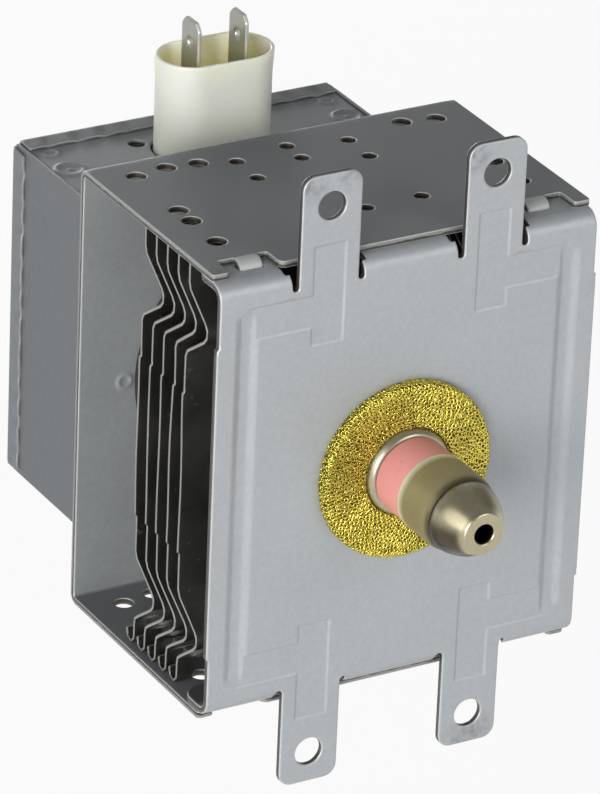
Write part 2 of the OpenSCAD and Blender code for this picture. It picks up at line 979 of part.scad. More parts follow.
module filter_lid() {
    outer = box_half + lid_sheet;
    lid_y = box_y1 + lid_sheet;
    color("#80858a")
        difference() {
            translate([-outer, lid_y - lid_rim, -outer])
                cube([2 * outer, lid_rim, 2 * outer]);
            translate([-box_half - touch / 2, lid_y - lid_rim - 1, -box_half - touch / 2])
                cube([box_w + touch, lid_rim + 1 - lid_sheet, box_w + touch]);
            // Notches that part the four strips of the rim
            for (sx = [-1, 1], sz = [-1, 1])
                translate([
                    sx * (outer + 1) - (lid_sheet + 1 + touch),
                    lid_y - lid_rim - 1,
                    sz * (outer + 1) - (lid_sheet + 1 + touch)
                ])
                    cube([2 * (lid_sheet + 1 + touch), lid_rim + 1 - lid_corner / 4, 2 * (lid_sheet + 1 + touch)]);
        }
}

// Connector
module connector_housing() {
    color("#e1dfd2")
        translate([0, conn_y, box_top_in])
            linear_extrude(height = rim_z - box_top_in)
                difference() {
                    oval(shroud_l, shroud_w);
                    oval(shroud_l - 2 * shroud_wall, shroud_w - 2 * shroud_wall);
                }
}

module capacitor_ground_plate() {
    color("#9a9ca0")
        translate([0, conn_y, box_top_in - ground_t])
            linear_extrude(height = ground_t)
                difference() {
                    square([ground_l, ground_w], center = true);
                    oval(neck_l + touch, neck_w + touch);
                }
}

module blade_outline() {
    tip = blade_w * 0.3;
    polygon([
        [-blade_w / 2, blade_bottom],
        [blade_w / 2, blade_bottom],
        [blade_w / 2, blade_top - tip],
        [tip, blade_top],
        [-tip, blade_top],
        [-blade_w / 2, blade_top - tip]
    ]);
}

module terminal_tab(way) {
    color("#c3c5c6")
        translate([way * blade_pitch / 2, conn_y, 0])
            difference() {
                across(blade_t)
                    blade_outline();
                translate([0, 0, blade_top - latch_drop])
                    rotate([0, 90, 0])
                        cylinder(d = latch_d, h = 2 * blade_t, center = true);
            }
}

module capacitor_body() {
    fill_l = shroud_l - 2 * shroud_wall - touch;
    fill_w = shroud_w - 2 * shroud_wall - touch;
    color("#b58f5e")
        difference() {
            translate([0, conn_y, 0])
                union() {
                    translate([0, 0, capacitor_bottom])
                        linear_extrude(height = capacitor_h)
                            oval(shroud_l, shroud_w);
                    translate([0, 0, capacitor_bottom + eps])
                        linear_extrude(height = capacitor_h + ground_t)
                            oval(neck_l, neck_w);
                    translate([0, 0, box_top_in])
                        linear_extrude(height = socket_floor_z - box_top_in)
                            oval(fill_l, fill_w);
                }
            for (way = [-1, 1])
                translate([way * blade_pitch / 2 - blade_t / 2, conn_y - blade_w / 2, blade_bottom])
                    cube([blade_t, blade_w, blade_top - blade_bottom]);
        }
}

module capacitor_inner_case() {
    color("#d8d4c2")
        translate([0, conn_y, capacitor_bottom - inner_case_drop])
            linear_extrude(height = capacitor_h + inner_case_drop)
                difference() {
                    oval(shroud_l + 2 * inner_case_wall + touch, shroud_w + 2 * inner_case_wall + touch);
                    oval(shroud_l + touch, shroud_w + touch);
                }
}

// Cooling fins
// Centre line of a leg in (y, z), from the middle of the fin to its end under the yoke
function leg_path(end_z) =
    rounded_path(
        [
            [0, 0],
            [0, leg_root_z],
            [-elbow_out, leg_elbow_z],
            [-foot_back, leg_foot_z],
            [-foot_back, end_z]
        ],
        [fin_bend_r, elbow_r, fin_bend_r],
        4
    );

// A lower leg ends in a foot that curls back off the yoke
function curled_leg() =
    let (
        foot_z = inner_top - touch - fin_t / 2 - curl_r,
        curl = [
            for (a = [150:-30:0])
                [curl_r - foot_back + curl_r * cos(a), foot_z + curl_r * sin(a)]
        ]
    )
    concat(leg_path(foot_z), curl, [[2 * curl_r - foot_back, foot_z - curl_tail]]);

module cooling_fin(k) {
    y = tube_mid + fin_shift + (k - (fin_count + 1) / 2) * fin_pitch;
    hole_r = anode_r + fin_fit;
    gap_half = fin_side - leg_w;
    core_z = leg_root_z - fin_bend_r;
    color("#5c5f5f")
        translate([0, y, 0])
            difference() {
                union() {
                    across(2 * fin_side)
                        polygon(sheet_outline(leg_path(inner_top - touch), fin_t));
                    mirror([0, 0, 1])
                        across(2 * fin_side)
                            polygon(sheet_outline(curled_leg(), fin_t));
                    across(2 * (fin_side + fin_step))
                        square([fin_t, 2 * fin_step_z], center = true);
                    rod(hole_r + fin_t, -fin_t / 2, collar_l);
                }
                rod(hole_r, -elbow_out - 5, collar_l + 5);
                // Room between the legs, above and below the flat of the fin
                for (up = [0, 1])
                    mirror([0, 0, up])
                        translate([-gap_half, -elbow_out - 5, core_z])
                            cube([2 * gap_half, elbow_out + 10, inner_top]);
                // The lower feet are narrow lugs at the ends of the fin
                translate([lug_w - fin_side, -elbow_out - 5, -inner_top])
                    cube([2 * (fin_side - lug_w), elbow_out + 10, inner_top - leg_foot_z - fin_bend_r / 2]);
            }
}

yoke_frame();
front_plate();
rf_gasket();
front_magnet();
rear_magnet();
anode_cylinder();
for (k = [1:vane_count])
    anode_vane(k);
strap(strap_in_r, -1);  // front_inner_strap
strap(strap_out_r, -1);  // front_outer_strap
strap(strap_in_r, 1);  // rear_inner_strap
strap(strap_out_r, 1);  // rear_outer_strap
front_pole_piece();
rear_pole_piece();
front_metal_seal();
rear_metal_seal();
output_ceramic();
antenna_lead();
exhaust_tube();
antenna_cap();
filament();
front_end_hat();
rear_end_hat();
center_lead();
side_lead();
stem_ceramic();
stem_terminal(0, 1);  // stem_terminal_1
stem_terminal(side_lead_z, -1);  // stem_terminal_2
choke_coil(1);  // choke_coil_1
choke_coil(-1);  // choke_coil_2
ferrite_core(1);  // ferrite_core_1
ferrite_core(-1);  // ferrite_core_2
filter_box();
filter_lid();
connector_housing();
capacitor_ground_plate();
capacitor_body();
capacitor_inner_case();
terminal_tab(-1);  // terminal_tab_1
terminal_tab(1);  // terminal_tab_2
for (k = [1:fin_count])
    cooling_fin(k);
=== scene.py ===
import json
import math
import random

import bpy
import numpy as np
from mathutils import Matrix, Vector
from mathutils.geometry import delaunay_2d_cdt


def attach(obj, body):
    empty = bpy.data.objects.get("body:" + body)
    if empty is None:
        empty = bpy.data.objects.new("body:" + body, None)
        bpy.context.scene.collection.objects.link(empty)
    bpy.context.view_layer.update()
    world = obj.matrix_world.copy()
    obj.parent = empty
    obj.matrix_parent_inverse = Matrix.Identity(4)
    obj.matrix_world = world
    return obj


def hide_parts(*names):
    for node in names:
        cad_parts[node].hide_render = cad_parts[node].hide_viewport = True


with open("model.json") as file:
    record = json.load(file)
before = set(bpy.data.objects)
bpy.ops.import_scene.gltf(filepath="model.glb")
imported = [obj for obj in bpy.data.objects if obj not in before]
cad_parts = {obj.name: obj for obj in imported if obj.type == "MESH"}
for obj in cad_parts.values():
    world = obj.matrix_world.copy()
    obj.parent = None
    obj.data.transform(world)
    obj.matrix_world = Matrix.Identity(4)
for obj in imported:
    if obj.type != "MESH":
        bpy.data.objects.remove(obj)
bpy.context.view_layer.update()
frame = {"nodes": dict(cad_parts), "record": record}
nodes = frame["nodes"]
MM = 0.001

# Sizes in millimetres, as in the solids
SIDE = 38.8
HALF_H = 44.5
YOKE_D = 53.2
SHEET = 1.4
FOLD_R = 1.9
LIP_Y = 3.0
INNER_TOP = HALF_H - SHEET
ROLL_R = 3.1
FLANGE_D, FLANGE_CORNER = 10.0, 3.5
PLATE_SIDE, PLATE_STEP, PLATE_STEP_Z = 38.65, 0.4, 31.0
TAB_X, TAB_Z, TAB_W, TAB_END, TAB_CORNER = 16.9, 55.0, 12.0, 6.2, 2.6
SLIT_W, SLIT_TOP, SLIT_BOTTOM, RELIEF_W = 1.3, 39.45, 40.95, 2.3
BEAD, GROOVE = 0.24, 0.7
BAR_IN, BAR_OUT, BAR_Z0, BAR_Z1, ARM_Z0, ARM_Z1, ARM_X = 13.7, 20.1, 28.2, 47.6, 31.8, 38.0, 33.0
GROOVE_X0, GROOVE_X1, GROOVE_Z = 31.3, 34.9, 36.2
NOTCH_IN, NOTCH_W, NOTCH_D = 3.4, 10.0, 5.1
TONGUE_X, TONGUE_W, TONGUE_R, TONGUE_Y = 29.6, 4.6, 2.4, 5.3
SEAL_R = 8.8
CERAMIC_Y1, CERAMIC_Y0, CERAMIC_R = -3.5, -11.3, 7.45
CAP_R, CAP_TIP = 7.6, -29.2
GASKET_R, GASKET_H = 17.5, 2.6
AXIS_HOLE, BACK_HOLE, SCREW_HOLE = 10.0, 10.4, 2.8
BOX_HALF, BOX_SHEET, BOX_Y1 = 33.7, 0.8, 88.7
LID_HALF, LID_Y, LID_RIM, LID_SHEET = 34.3, 89.3, 4.5, 0.6
CONN_Y, CONN_L, CONN_W, RIM_Z = 74.4, 23.1, 13.2, 52.5
BLADE_X, BLADE_W, BLADE_T, BLADE_TOP, BLADE_LOW = 5.0, 6.35, 0.8, 59.5, 11.9


# Meshes
def form(verts, faces):
    """A mesh with nothing marked: cut picks a face's material, the wear mark lightens edges for wear and a
    painted highlight, and across runs through a cut edge's thickness and marks painted shade on other faces."""
    count = len(verts)
    return {
        "verts": np.asarray(verts), "faces": faces, "cut": [0] * len(faces),
        "wear_and_highlight": np.zeros(count), "across": np.zeros(count),
    }


def new_object(name, shape, materials):
    mesh = bpy.data.meshes.new(name)
    mesh.from_pydata((shape["verts"] * MM).tolist(), [], shape["faces"])
    mesh.polygons.foreach_set("use_smooth", [True] * len(mesh.polygons))
    mesh.polygons.foreach_set("material_index", shape["cut"])
    for key in ("wear_and_highlight", "across"):
        layer = mesh.attributes.new(key, "FLOAT", "POINT")
        layer.data.foreach_set("value", np.asarray(shape[key], dtype=np.float32))
    for material in materials:
        mesh.materials.append(material)
    mesh.update()
    obj = bpy.data.objects.new(name, mesh)
    bpy.context.scene.collection.objects.link(obj)
    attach(obj, "root")
    return obj


def arc(cx, cy, r, a0, a1, steps):
    angles = np.radians(np.linspace(a0, a1, steps + 1))
    return [(cx + r * math.cos(a), cy + r * math.sin(a)) for a in angles]


def circle(cx, cy, r, steps=40):
    return arc(cx, cy, r, 0, 360, steps)[:-1]


CORNER_STEPS = 6


def filleted(points):
    """Closed loop of (x, y, radius) corners, each rounded by its radius."""
    out = []
    n = len(points)
    for i, (x, y, r) in enumerate(points):
        if r <= 0:
            out.append((x, y))
            continue
        here = np.array((x, y))
        to_a = np.array(points[i - 1][:2]) - here
        to_b = np.array(points[(i + 1) % n][:2]) - here
        to_a /= np.linalg.norm(to_a)
        to_b /= np.linalg.norm(to_b)
        half = math.acos(max(-1.0, min(1.0, float(to_a @ to_b)))) / 2
        reach = r / math.tan(half)
        middle = (to_a + to_b) / np.linalg.norm(to_a + to_b)
        centre = here + middle * r / math.sin(half)
        start = here + to_a * reach - centre
        end = here + to_b * reach - centre
        a0 = math.atan2(start[1], start[0])
        sweep = math.atan2(end[1], end[0]) - a0
        sweep = (sweep + math.pi) % (2 * math.pi) - math.pi
        for k in range(CORNER_STEPS + 1):
            a = a0 + sweep * k / CORNER_STEPS
            out.append((centre[0] + r * math.cos(a), centre[1] + r * math.sin(a)))
    return out


def resampled(loop, step):
    out = []
    for i, a in enumerate(loop):
        b = loop[(i + 1) % len(loop)]
        count = max(1, math.ceil(math.dist(a, b) / step))
        out += [(a[0] + (b[0] - a[0]) * k / count, a[1] + (b[1] - a[1]) * k / count) for k in range(count)]
    return np.array(out)


def turned_left(loop, hole):
    """The loop with the sheet on its left, and the inward direction at each point."""
    x, y = loop[:, 0], loop[:, 1]
    area = np.sum(x * np.roll(y, -1) - np.roll(x, -1) * y)
    if (area > 0) == hole:
        loop = loop[::-1]
    ahead = np.roll(loop, -1, 0) - loop
    ahead /= np.linalg.norm(ahead, axis=1)[:, None]
    left = np.stack((-ahead[:, 1], ahead[:, 0]), 1)
    both = left + np.roll(left, 1, 0)
    both /= np.maximum(np.linalg.norm(both, axis=1), 1e-6)[:, None]
    stretch = 1 / np.maximum(np.sum(both * left, 1), 0.6)
    return loop, both * stretch[:, None]


def inside(points, loops):
    odd = np.zeros(len(points), dtype=bool)
    px, py = points[:, 0], points[:, 1]
    for loop in loops:
        for (ax, ay), (bx, by) in zip(loop, np.roll(loop, -1, 0)):
            if ay == by:
                continue
            spans = (ay > py) != (by > py)
            odd ^= spans & (px < (bx - ax) * (py - ay) / (by - ay) + ax)
    return odd


def edge_distance(points, loops):
    best = np.full(len(points), 1e9)
    for loop in loops:
        for a, b in zip(loop, np.roll(loop, -1, 0)):
            along = b - a
            share = np.clip(((points - a) @ along) / max(along @ along, 1e-12), 0, 1)
            gap = points - a - share[:, None] * along
            best = np.minimum(best, np.sum(gap * gap, 1))
    return np.sqrt(best)


# Rings of points along a rim, as shares of its rounding; the last keeps the face beside it flat
RIM_RINGS = (0.0, 0.3, 1.0, 2.2)


def sheet_mesh(loops, us, vs, place, thick, round_r, lift=None, step=1.2):
    """Closed sheet with rounded edges. loops are its outline and holes when laid flat, us and vs the
    grid lines of its face, place(u, v) gives points and outward directions of its outer face."""
    loops = [turned_left(resampled(loop, step), k > 0) for k, loop in enumerate(loops)]
    outlines = [loop for loop, _ in loops]
    points, depth, edges = [], [], []
    for loop, inward in loops:
        start = sum(len(p) for p in points)
        count = len(loop)
        edges += [(start + k, start + (k + 1) % count) for k in range(count)]
        for share in RIM_RINGS:
            points.append(loop + inward * share * round_r)
            depth.append(np.full(count, min(share, 1.0) * round_r))
    grid = np.stack(np.meshgrid(us, vs), -1).reshape(-1, 2)
    grid = grid[inside(grid, outlines)]
    far = edge_distance(grid, outlines)
    keep = far > round_r * (RIM_RINGS[-1] + 0.4) + 0.1
    points.append(grid[keep])
    depth.append(np.full(int(keep.sum()), round_r))
    points = np.concatenate(points)
    depth = np.concatenate(depth)
    flat, _, tris, sources, _, _ = delaunay_2d_cdt(
        [Vector(p) for p in points.tolist()], edges, [], 0, 1e-5
    )
    flat = np.array([tuple(p) for p in flat])
    source = np.array([s[0] for s in sources])
    depth = depth[source]
    rim_of = {}
    for k, s in enumerate(sources):
        for one in s:
            rim_of[one] = k
    tris = np.array([tuple(t) for t in tris if len(t) == 3])
    tris = tris[inside(flat[tris].mean(1), outlines)]
    drop = round_r - np.sqrt(np.maximum(round_r**2 - (round_r - np.minimum(depth, round_r)) ** 2, 0))
    face, out = place(flat[:, 0], flat[:, 1])
    rise = lift(flat[:, 0], flat[:, 1]) if lift else np.zeros(len(flat))
    front = face + out * (rise - drop)[:, None]
    back = face + out * (rise - thick + drop)[:, None]
    a, b, c = face[tris[:, 0]], face[tris[:, 1]], face[tris[:, 2]]
    wrong = np.sum(np.cross(b - a, c - a) * out[tris[:, 0]], 1) < 0
    tris[wrong] = tris[wrong][:, ::-1]
    total = len(flat)
    faces = tris.tolist() + (tris[:, ::-1] + total).tolist()
    cut = [0] * len(faces)
    turn = -1 if wrong.mean() > 0.5 else 1
    rims = [(rim_of[i], rim_of[j]) for i, j in edges]
    rims = [(i, j) for i, j in rims if i != j]
    used = sorted({i for pair in rims for i in pair})
    first = {i: 2 * total + k for k, i in enumerate(used)}
    for i, j in rims:
        quad = [first[i], first[i] + len(used), first[j] + len(used), first[j]]
        faces.append(quad[::turn])
        cut.append(1)
    # Edges are lightened toward the rim, as wear and painted highlight
    wear_and_highlight = np.clip(1 - depth / round_r, 0, 1)
    zeros = np.zeros(2 * total)
    return {
        "verts": np.concatenate((front, back, front[used], back[used])), "faces": faces, "cut": cut,
        "wear_and_highlight": np.concatenate((wear_and_highlight, wear_and_highlight, np.ones(2 * len(used)))),
        "across": np.concatenate((zeros, np.zeros(len(used)), np.ones(len(used)))),
    }


def mark_painted_shade(shape, level):
    """Marks the faces of a sheet, but not its cut edges, for painted shade."""
    rims = [i for face, cut in zip(shape["faces"], shape["cut"]) if cut for i in face]
    level[rims] = shape["across"][rims]
    shape["across"] = level


def joined(parts):
    """Several meshes as one."""
    start = np.cumsum([0] + [len(part["verts"]) for part in parts])
    return {
        "verts": np.concatenate([part["verts"] for part in parts]),
        "faces": [[i + s for i in face] for part, s in zip(parts, start) for face in part["faces"]],
        "cut": [one for part in parts for one in part["cut"]],
        "wear_and_highlight": np.concatenate([part["wear_and_highlight"] for part in parts]),
        "across": np.concatenate([part["across"] for part in parts]),
    }


def spaced(low, high, step, fine=(), fine_step=0.2, reach=0.6):
    """Grid lines from low to high, with closer lines round each fine place."""
    lines = list(np.linspace(low, high, max(2, int(round((high - low) / step)) + 1)))
    for f in fine:
        lines = [x for x in lines if abs(x - f) > reach + fine_step / 2]
        lines += list(np.arange(f - reach, f + reach + 1e-6, fine_step))
    return sorted(x for x in set(np.round(lines, 4)) if low <= x <= high)


def ring_faces(rings, per):
    """Faces between each ring of points and the next."""
    return [
        [i * per + k, i * per + (k + 1) % per, (i + 1) * per + (k + 1) % per, (i + 1) * per + k]
        for i in range(rings - 1) for k in range(per)
    ]


def lathe(profile, segments):
    """Closed or open (radius, y) profile turned about the tube's axis."""
    angles = np.linspace(0, 2 * math.pi, segments, endpoint=False)
    verts = [(r * math.sin(a), y, r * math.cos(a)) for r, y in profile for a in angles]
    return verts, ring_faces(len(profile), segments)


def ring_profile(r_in, r_out, y0, y1, r):
    """Section of a ring with all four edges rounded, closed."""
    corners = [(r_in, y0, r), (r_out, y0, r), (r_out, y1, r), (r_in, y1, r)]
    loop = filleted(corners)
    return loop + loop[:1]


def smooth_step(x, low, high):
    t = np.clip((x - low) / (high - low), 0, 1)
    return t * t * (3 - 2 * t)


def bent(w, start, r):
    """A sheet that bends by a quarter turn from start on: how far it reaches out, how far back, its turn."""
    turn = np.clip((w - start) / r, 0, math.pi / 2)
    past = np.maximum(w - start - r * math.pi / 2, 0)
    return np.minimum(w, start) + r * np.sin(turn), r * (1 - np.cos(turn)) + past, turn


def with_bend(lines, start, length, steps):
    """Grid lines with even steps through a bend at both ends."""
    bend = np.linspace(start, start + length, steps)
    return [v for v in lines if not start < abs(v) < start + length] + list(bend) + list(-bend)


def side_placer(sign, x, y0):
    """Places a flat sheet that faces left or right."""
    def place(u, v):
        zeros = np.zeros_like(u)
        return np.stack((zeros + x, y0 + u, v), 1), np.stack((zeros + sign, zeros, zeros), 1)

    return place


def run_length(path):
    """Length along a path at each of its points."""
    return np.concatenate(([0.0], np.cumsum(np.linalg.norm(np.diff(path, axis=0), axis=1))))


# Materials
def tree(name):
    material = bpy.data.materials.new(name)
    material.use_nodes = True
    net = material.node_tree
    return material, net, net.nodes["Principled BSDF"]


def dial(node, values):
    """Sets inputs of a node by their names."""
    for key, value in values.items():
        node.inputs[key].default_value = value


def noise(net, scale, detail=4.0, rough=0.6, stretch=(1, 1, 1)):
    place = net.nodes.new("ShaderNodeTexCoord")
    shape = net.nodes.new("ShaderNodeMapping")
    texture = net.nodes.new("ShaderNodeTexNoise")
    dial(shape, {"Scale": stretch})
    dial(texture, {"Scale": scale, "Detail": detail, "Roughness": rough})
    net.links.new(place.outputs["Object"], shape.inputs["Vector"])
    net.links.new(shape.outputs["Vector"], texture.inputs["Vector"])
    return texture.outputs["Fac"]


def ramp(net, source, in_low, in_high, low, high):
    node = net.nodes.new("ShaderNodeMapRange")
    dial(node, {"From Min": in_low, "From Max": in_high, "To Min": low, "To Max": high})
    net.links.new(source, node.inputs["Value"])
    return node.outputs["Result"]


def combined(net, operation, first, second):
    node = net.nodes.new("ShaderNodeMath")
    node.operation = operation
    for socket, value in zip(node.inputs, (first, second)):
        if isinstance(value, float):
            socket.default_value = value
        else:
            net.links.new(value, socket)
    return node.outputs["Value"]


def marked(net, name):
    mark = net.nodes.new("ShaderNodeAttribute")
    mark.attribute_name = name
    return mark.outputs["Fac"]


def mixed(net, factor, first, second):
    """Colour that goes from first to second; each is a colour or a socket."""
    mix = net.nodes.new("ShaderNodeMix")
    mix.data_type = "RGBA"
    for key, value in (("A", first), ("B", second)):
        if isinstance(value, tuple):
            mix.inputs[key].default_value = (*value, 1)
        else:
            net.links.new(value, mix.inputs[key])
    net.links.new(factor, mix.inputs["Factor"])
    return mix.outputs["Result"]


def bumped(net, shader, height, strength, distance):
    bump = net.nodes.new("ShaderNodeBump")
    dial(bump, {"Strength": strength, "Distance": distance})
    net.links.new(height, bump.inputs["Height"])
    net.links.new(bump.outputs["Normal"], shader.inputs["Normal"])


def shaded(color, factor):
    return tuple(c * factor for c in color)


def clouded(net, shader, broad, color, mottle, rough):
    """Gives the shader a gloss, and returns a colour, that both vary with a broad noise."""
    gloss = ramp(net, broad, 0.3, 0.7, rough - 0.05, rough + 0.05)
    net.links.new(gloss, shader.inputs["Roughness"])
    cloud = ramp(net, broad, 0.3, 0.7, 0.0, 1.0)
    return mixed(net, cloud, shaded(color, 1 - mottle), shaded(color, 1 + mottle))


def stained(net, base, centre, reach, color):
    """A blotchy stain round one place, given in millimetres."""
    place = net.nodes.new("ShaderNodeTexCoord")
    away = net.nodes.new("ShaderNodeVectorMath")
    away.operation = "DISTANCE"
    away.inputs[1].default_value = [c * MM for c in centre]
    net.links.new(place.outputs["Object"], away.inputs[0])
    near = ramp(net, away.outputs["Value"], 0.0, reach * MM, 1.0, 0.0)
    blotch = ramp(net, noise(net, 420, 5, 0.7), 0.4, 0.65, 0.0, 1.0)
    return mixed(net, combined(net, "MULTIPLY", near, blotch), base, color)


def metal(
    name, color, rough, metallic=1.0, mottle=0.06, edge=None, grain=900, bump=0.03,
    dust=None, stains=(), painted_shade=None,
):
    """Sheet metal: cloudy colour, fine grain, uneven gloss, rounded edges lightened as wear and painted
    highlight where the mesh marks them, and, where given, specks of dust, stains and painted shade on marked
    faces."""
    material, net, shader = tree(name)
    fine = noise(net, grain, 3, 0.6)
    base = clouded(net, shader, noise(net, 55, 6, 0.65), color, mottle, rough)
    base = mixed(net, ramp(net, fine, 0.35, 0.65, 0.16, 0.0), base, shaded(color, 0.55))
    if dust is not None:
        speck = ramp(net, noise(net, 800, 2, 0.5), 0.68, 0.74, 0.0, 0.8)
        base = mixed(net, speck, base, dust)
    # Painted shade on the faces that the mesh marks
    if painted_shade is not None:
        base = mixed(net, marked(net, "across"), base, painted_shade)
    for centre, reach, stain in stains:
        base = stained(net, base, centre, reach, stain)
    # Lighter rounded edges: wear and painted highlight
    if edge is not None:
        base = mixed(net, marked(net, "wear_and_highlight"), base, edge)
    net.links.new(base, shader.inputs["Base Color"])
    dial(shader, {"Metallic": metallic, "Specular IOR Level": 0.25})
    bumped(net, shader, fine, bump, 0.0004)
    return material


def cut_edge(name, light, dark, split, rough=0.45, metallic=0.5):
    """Sheared edge of a sheet: a smooth light band from the outer face, then a torn darker one."""
    material, net, shader = tree(name)
    torn = noise(net, 420, 4, 0.7, (1, 1, 0.4))
    ragged = ramp(net, torn, 0.3, 0.7, -0.18, 0.18)
    across = combined(net, "ADD", marked(net, "across"), ragged)
    band = ramp(net, across, split - 0.08, split + 0.08, 0.0, 1.0)
    cloud = ramp(net, torn, 0.3, 0.7, 0.0, 1.0)
    smooth = mixed(net, cloud, shaded(light, 0.85), shaded(light, 1.1))
    net.links.new(mixed(net, band, smooth, dark), shader.inputs["Base Color"])
    dial(shader, {"Roughness": rough, "Metallic": metallic})
    bumped(net, shader, torn, 0.25, 0.0003)
    return material


def dull(name, color, rough, mottle=0.05, grain=700, bump=0.05, specks=None, coat=0.0, scatter=0.0):
    """Ceramic, plastic or ferrite: slightly uneven colour, fine grain and, where given, dark specks."""
    material, net, shader = tree(name)
    fine = noise(net, grain, 3, 0.6)
    base = clouded(net, shader, noise(net, 110, 5, 0.6), color, mottle, rough)
    if specks is not None:
        dots = ramp(net, noise(net, 1100, 1, 0.4), 0.76, 0.80, 0.0, 1.0)
        base = mixed(net, dots, base, specks)
    net.links.new(base, shader.inputs["Base Color"])
    dial(shader, {
        "Coat Weight": coat, "Subsurface Weight": scatter,
        "Subsurface Radius": (1.0, 0.85, 0.4), "Subsurface Scale": 0.003,
    })
    bumped(net, shader, fine, bump, 0.0002)
    return material


RUST, SMUDGE = (0.16, 0.10, 0.055), (0.17, 0.17, 0.175)
# Painted shade for the inner faces of the plate's flanges
FLANGE_PAINTED_SHADE = (0.11, 0.112, 0.113)
# Painted shade for the yoke's top and bottom
YOKE_PAINTED_SHADE = (0.19, 0.201, 0.206)
yoke_stains = [((-SIDE, LIP_Y, s * HALF_H), 5.0, RUST) for s in (-1, 1)]
plate_stains = [((-TAB_X - 5, 0, TAB_Z + 5), 5.0, SMUDGE), ((-TAB_X + 4, 0, TAB_Z + 6), 4.5, SMUDGE)]
plate_stains += [((TAB_X - 5, 0, TAB_Z + 4), 4.0, SMUDGE), ((TAB_X + 1, 0, -TAB_Z - 6), 7.0, SMUDGE)]
# The edge colours below lighten rounded edges, as wear and painted highlight
plate_zinc = metal(
    "plate_zinc", (0.42, 0.44, 0.455), 0.46, 0.35, 0.03, (0.54, 0.55, 0.54),
    stains=plate_stains, painted_shade=FLANGE_PAINTED_SHADE,
)
plate_cut = cut_edge("plate_cut", (0.13, 0.125, 0.12), (0.06, 0.055, 0.05), 0.5)
yoke_zinc = metal(
    "yoke_zinc", (0.345, 0.361, 0.368), 0.48, 0.25, 0.04, (0.48, 0.49, 0.48),
    stains=yoke_stains, painted_shade=YOKE_PAINTED_SHADE,
)
yoke_cut = cut_edge("yoke_cut", (0.30, 0.30, 0.285), (0.075, 0.07, 0.06), 0.5)
hole_cut = cut_edge("hole_cut", (0.13, 0.115, 0.095), (0.06, 0.048, 0.036), 0.3)
# Lit and shaded copies of one zinc: the box's folded U lighter, its side walls darker, for how the light
# falls
box_side_shaded_zinc = metal("box_side_shaded_zinc", (0.157, 0.167, 0.174), 0.48, 0.3, 0.05, edge=(0.30, 0.31, 0.31))
box_top_lit_zinc = metal("box_top_lit_zinc", (0.285, 0.30, 0.308), 0.48, 0.3, 0.05, edge=(0.40, 0.41, 0.41))
lid_zinc = metal("lid_zinc", (0.20, 0.21, 0.218), 0.48, 0.3, 0.05, edge=(0.32, 0.33, 0.33))
box_cut = cut_edge("box_cut", (0.36, 0.365, 0.355), (0.14, 0.14, 0.13), 0.8)
fin_metal = metal("fin_metal", (0.20, 0.196, 0.184), 0.34, 0.94, 0.3, dust=(0.45, 0.42, 0.36))
fin_cut = cut_edge("fin_cut", (0.34, 0.335, 0.315), (0.2, 0.195, 0.18), 0.7, 0.4, 0.6)
gasket_wire = metal("gasket_wire", (0.68, 0.58, 0.115), 0.22, 1.0, 0.25)
# Painted shade: the dark core stands for the shaded depth under the knitted wire
knit_depth_shade = metal("knit_depth_shade", (0.24, 0.20, 0.035), 0.5, 0.6, 0.4)
# Painted shade for the cap's crease and painted dark reflection on its nose
CAP_PAINTED_SHADE = (0.055, 0.045, 0.028)
cap_nickel = metal(
    "cap_nickel", (0.35, 0.30, 0.15), 0.42, 0.6, 0.07, (0.85, 0.82, 0.68), 1500, painted_shade=CAP_PAINTED_SHADE,
)
cap_nose = metal("cap_nose", (0.50, 0.455, 0.305), 0.3, 1.0, 0.07, grain=1500, painted_shade=CAP_PAINTED_SHADE)
seal_silver = metal("seal_silver", (0.44, 0.405, 0.31), 0.32, 0.9)
# Painted shade: near-black copper for the tube and lead seen through the cap's tip hole
cavity_painted_shade = metal("cavity_painted_shade", (0.03, 0.022, 0.016), 0.6)
shadowed = metal("shadowed", (0.04, 0.042, 0.045), 0.55)
copper = metal("copper", (0.62, 0.32, 0.19), 0.35)
pole_iron = metal("pole_iron", (0.30, 0.31, 0.32), 0.45)
cathode = metal("cathode", (0.22, 0.21, 0.20), 0.5)
blade_tin = metal("blade_tin", (0.38, 0.38, 0.345), 0.32, 0.8, 0.12, edge=(0.66, 0.66, 0.62))
blade_cut = cut_edge("blade_cut", (0.66, 0.66, 0.63), (0.42, 0.42, 0.39), 0.7)
choke_wire = metal("choke_wire", (0.50, 0.20, 0.07), 0.3)
magnet_dark = dull("magnet_dark", (0.022, 0.022, 0.024), 0.55, mottle=0.3)
core_dark = dull("core_dark", (0.03, 0.03, 0.032), 0.5, mottle=0.2)
pink_ceramic = dull("pink_ceramic", (0.73, 0.295, 0.28), 0.42, mottle=0.03, specks=(0.33, 0.12, 0.11))
stem_white = dull("stem_white", (0.74, 0.70, 0.62), 0.4)
cream_plastic = dull("cream_plastic", (0.93, 0.875, 0.69), 0.38, mottle=0.02, scatter=0.85)
resin = dull("resin", (0.58, 0.50, 0.30), 0.3, mottle=0.08, coat=0.3)

by_slot = {
    "yoke_steel": yoke_zinc,
    "plate_steel": plate_zinc,
    "gasket_wire": gasket_wire,
    "magnet_ferrite": magnet_dark,
    "copper": copper,
    "pole_iron": pole_iron,
    "seal_metal": seal_silver,
    "window_ceramic": pink_ceramic,
    "cap_metal": cap_nickel,
    "cathode_metal": cathode,
    "stem_ceramic": stem_white,
    "terminal_metal": blade_tin,
    "choke_wire": choke_wire,
    "core_ferrite": core_dark,
    "box_steel": box_side_shaded_zinc,
    "connector_plastic": cream_plastic,
    "capacitor_resin": resin,
    "fin_aluminium": fin_metal,
}
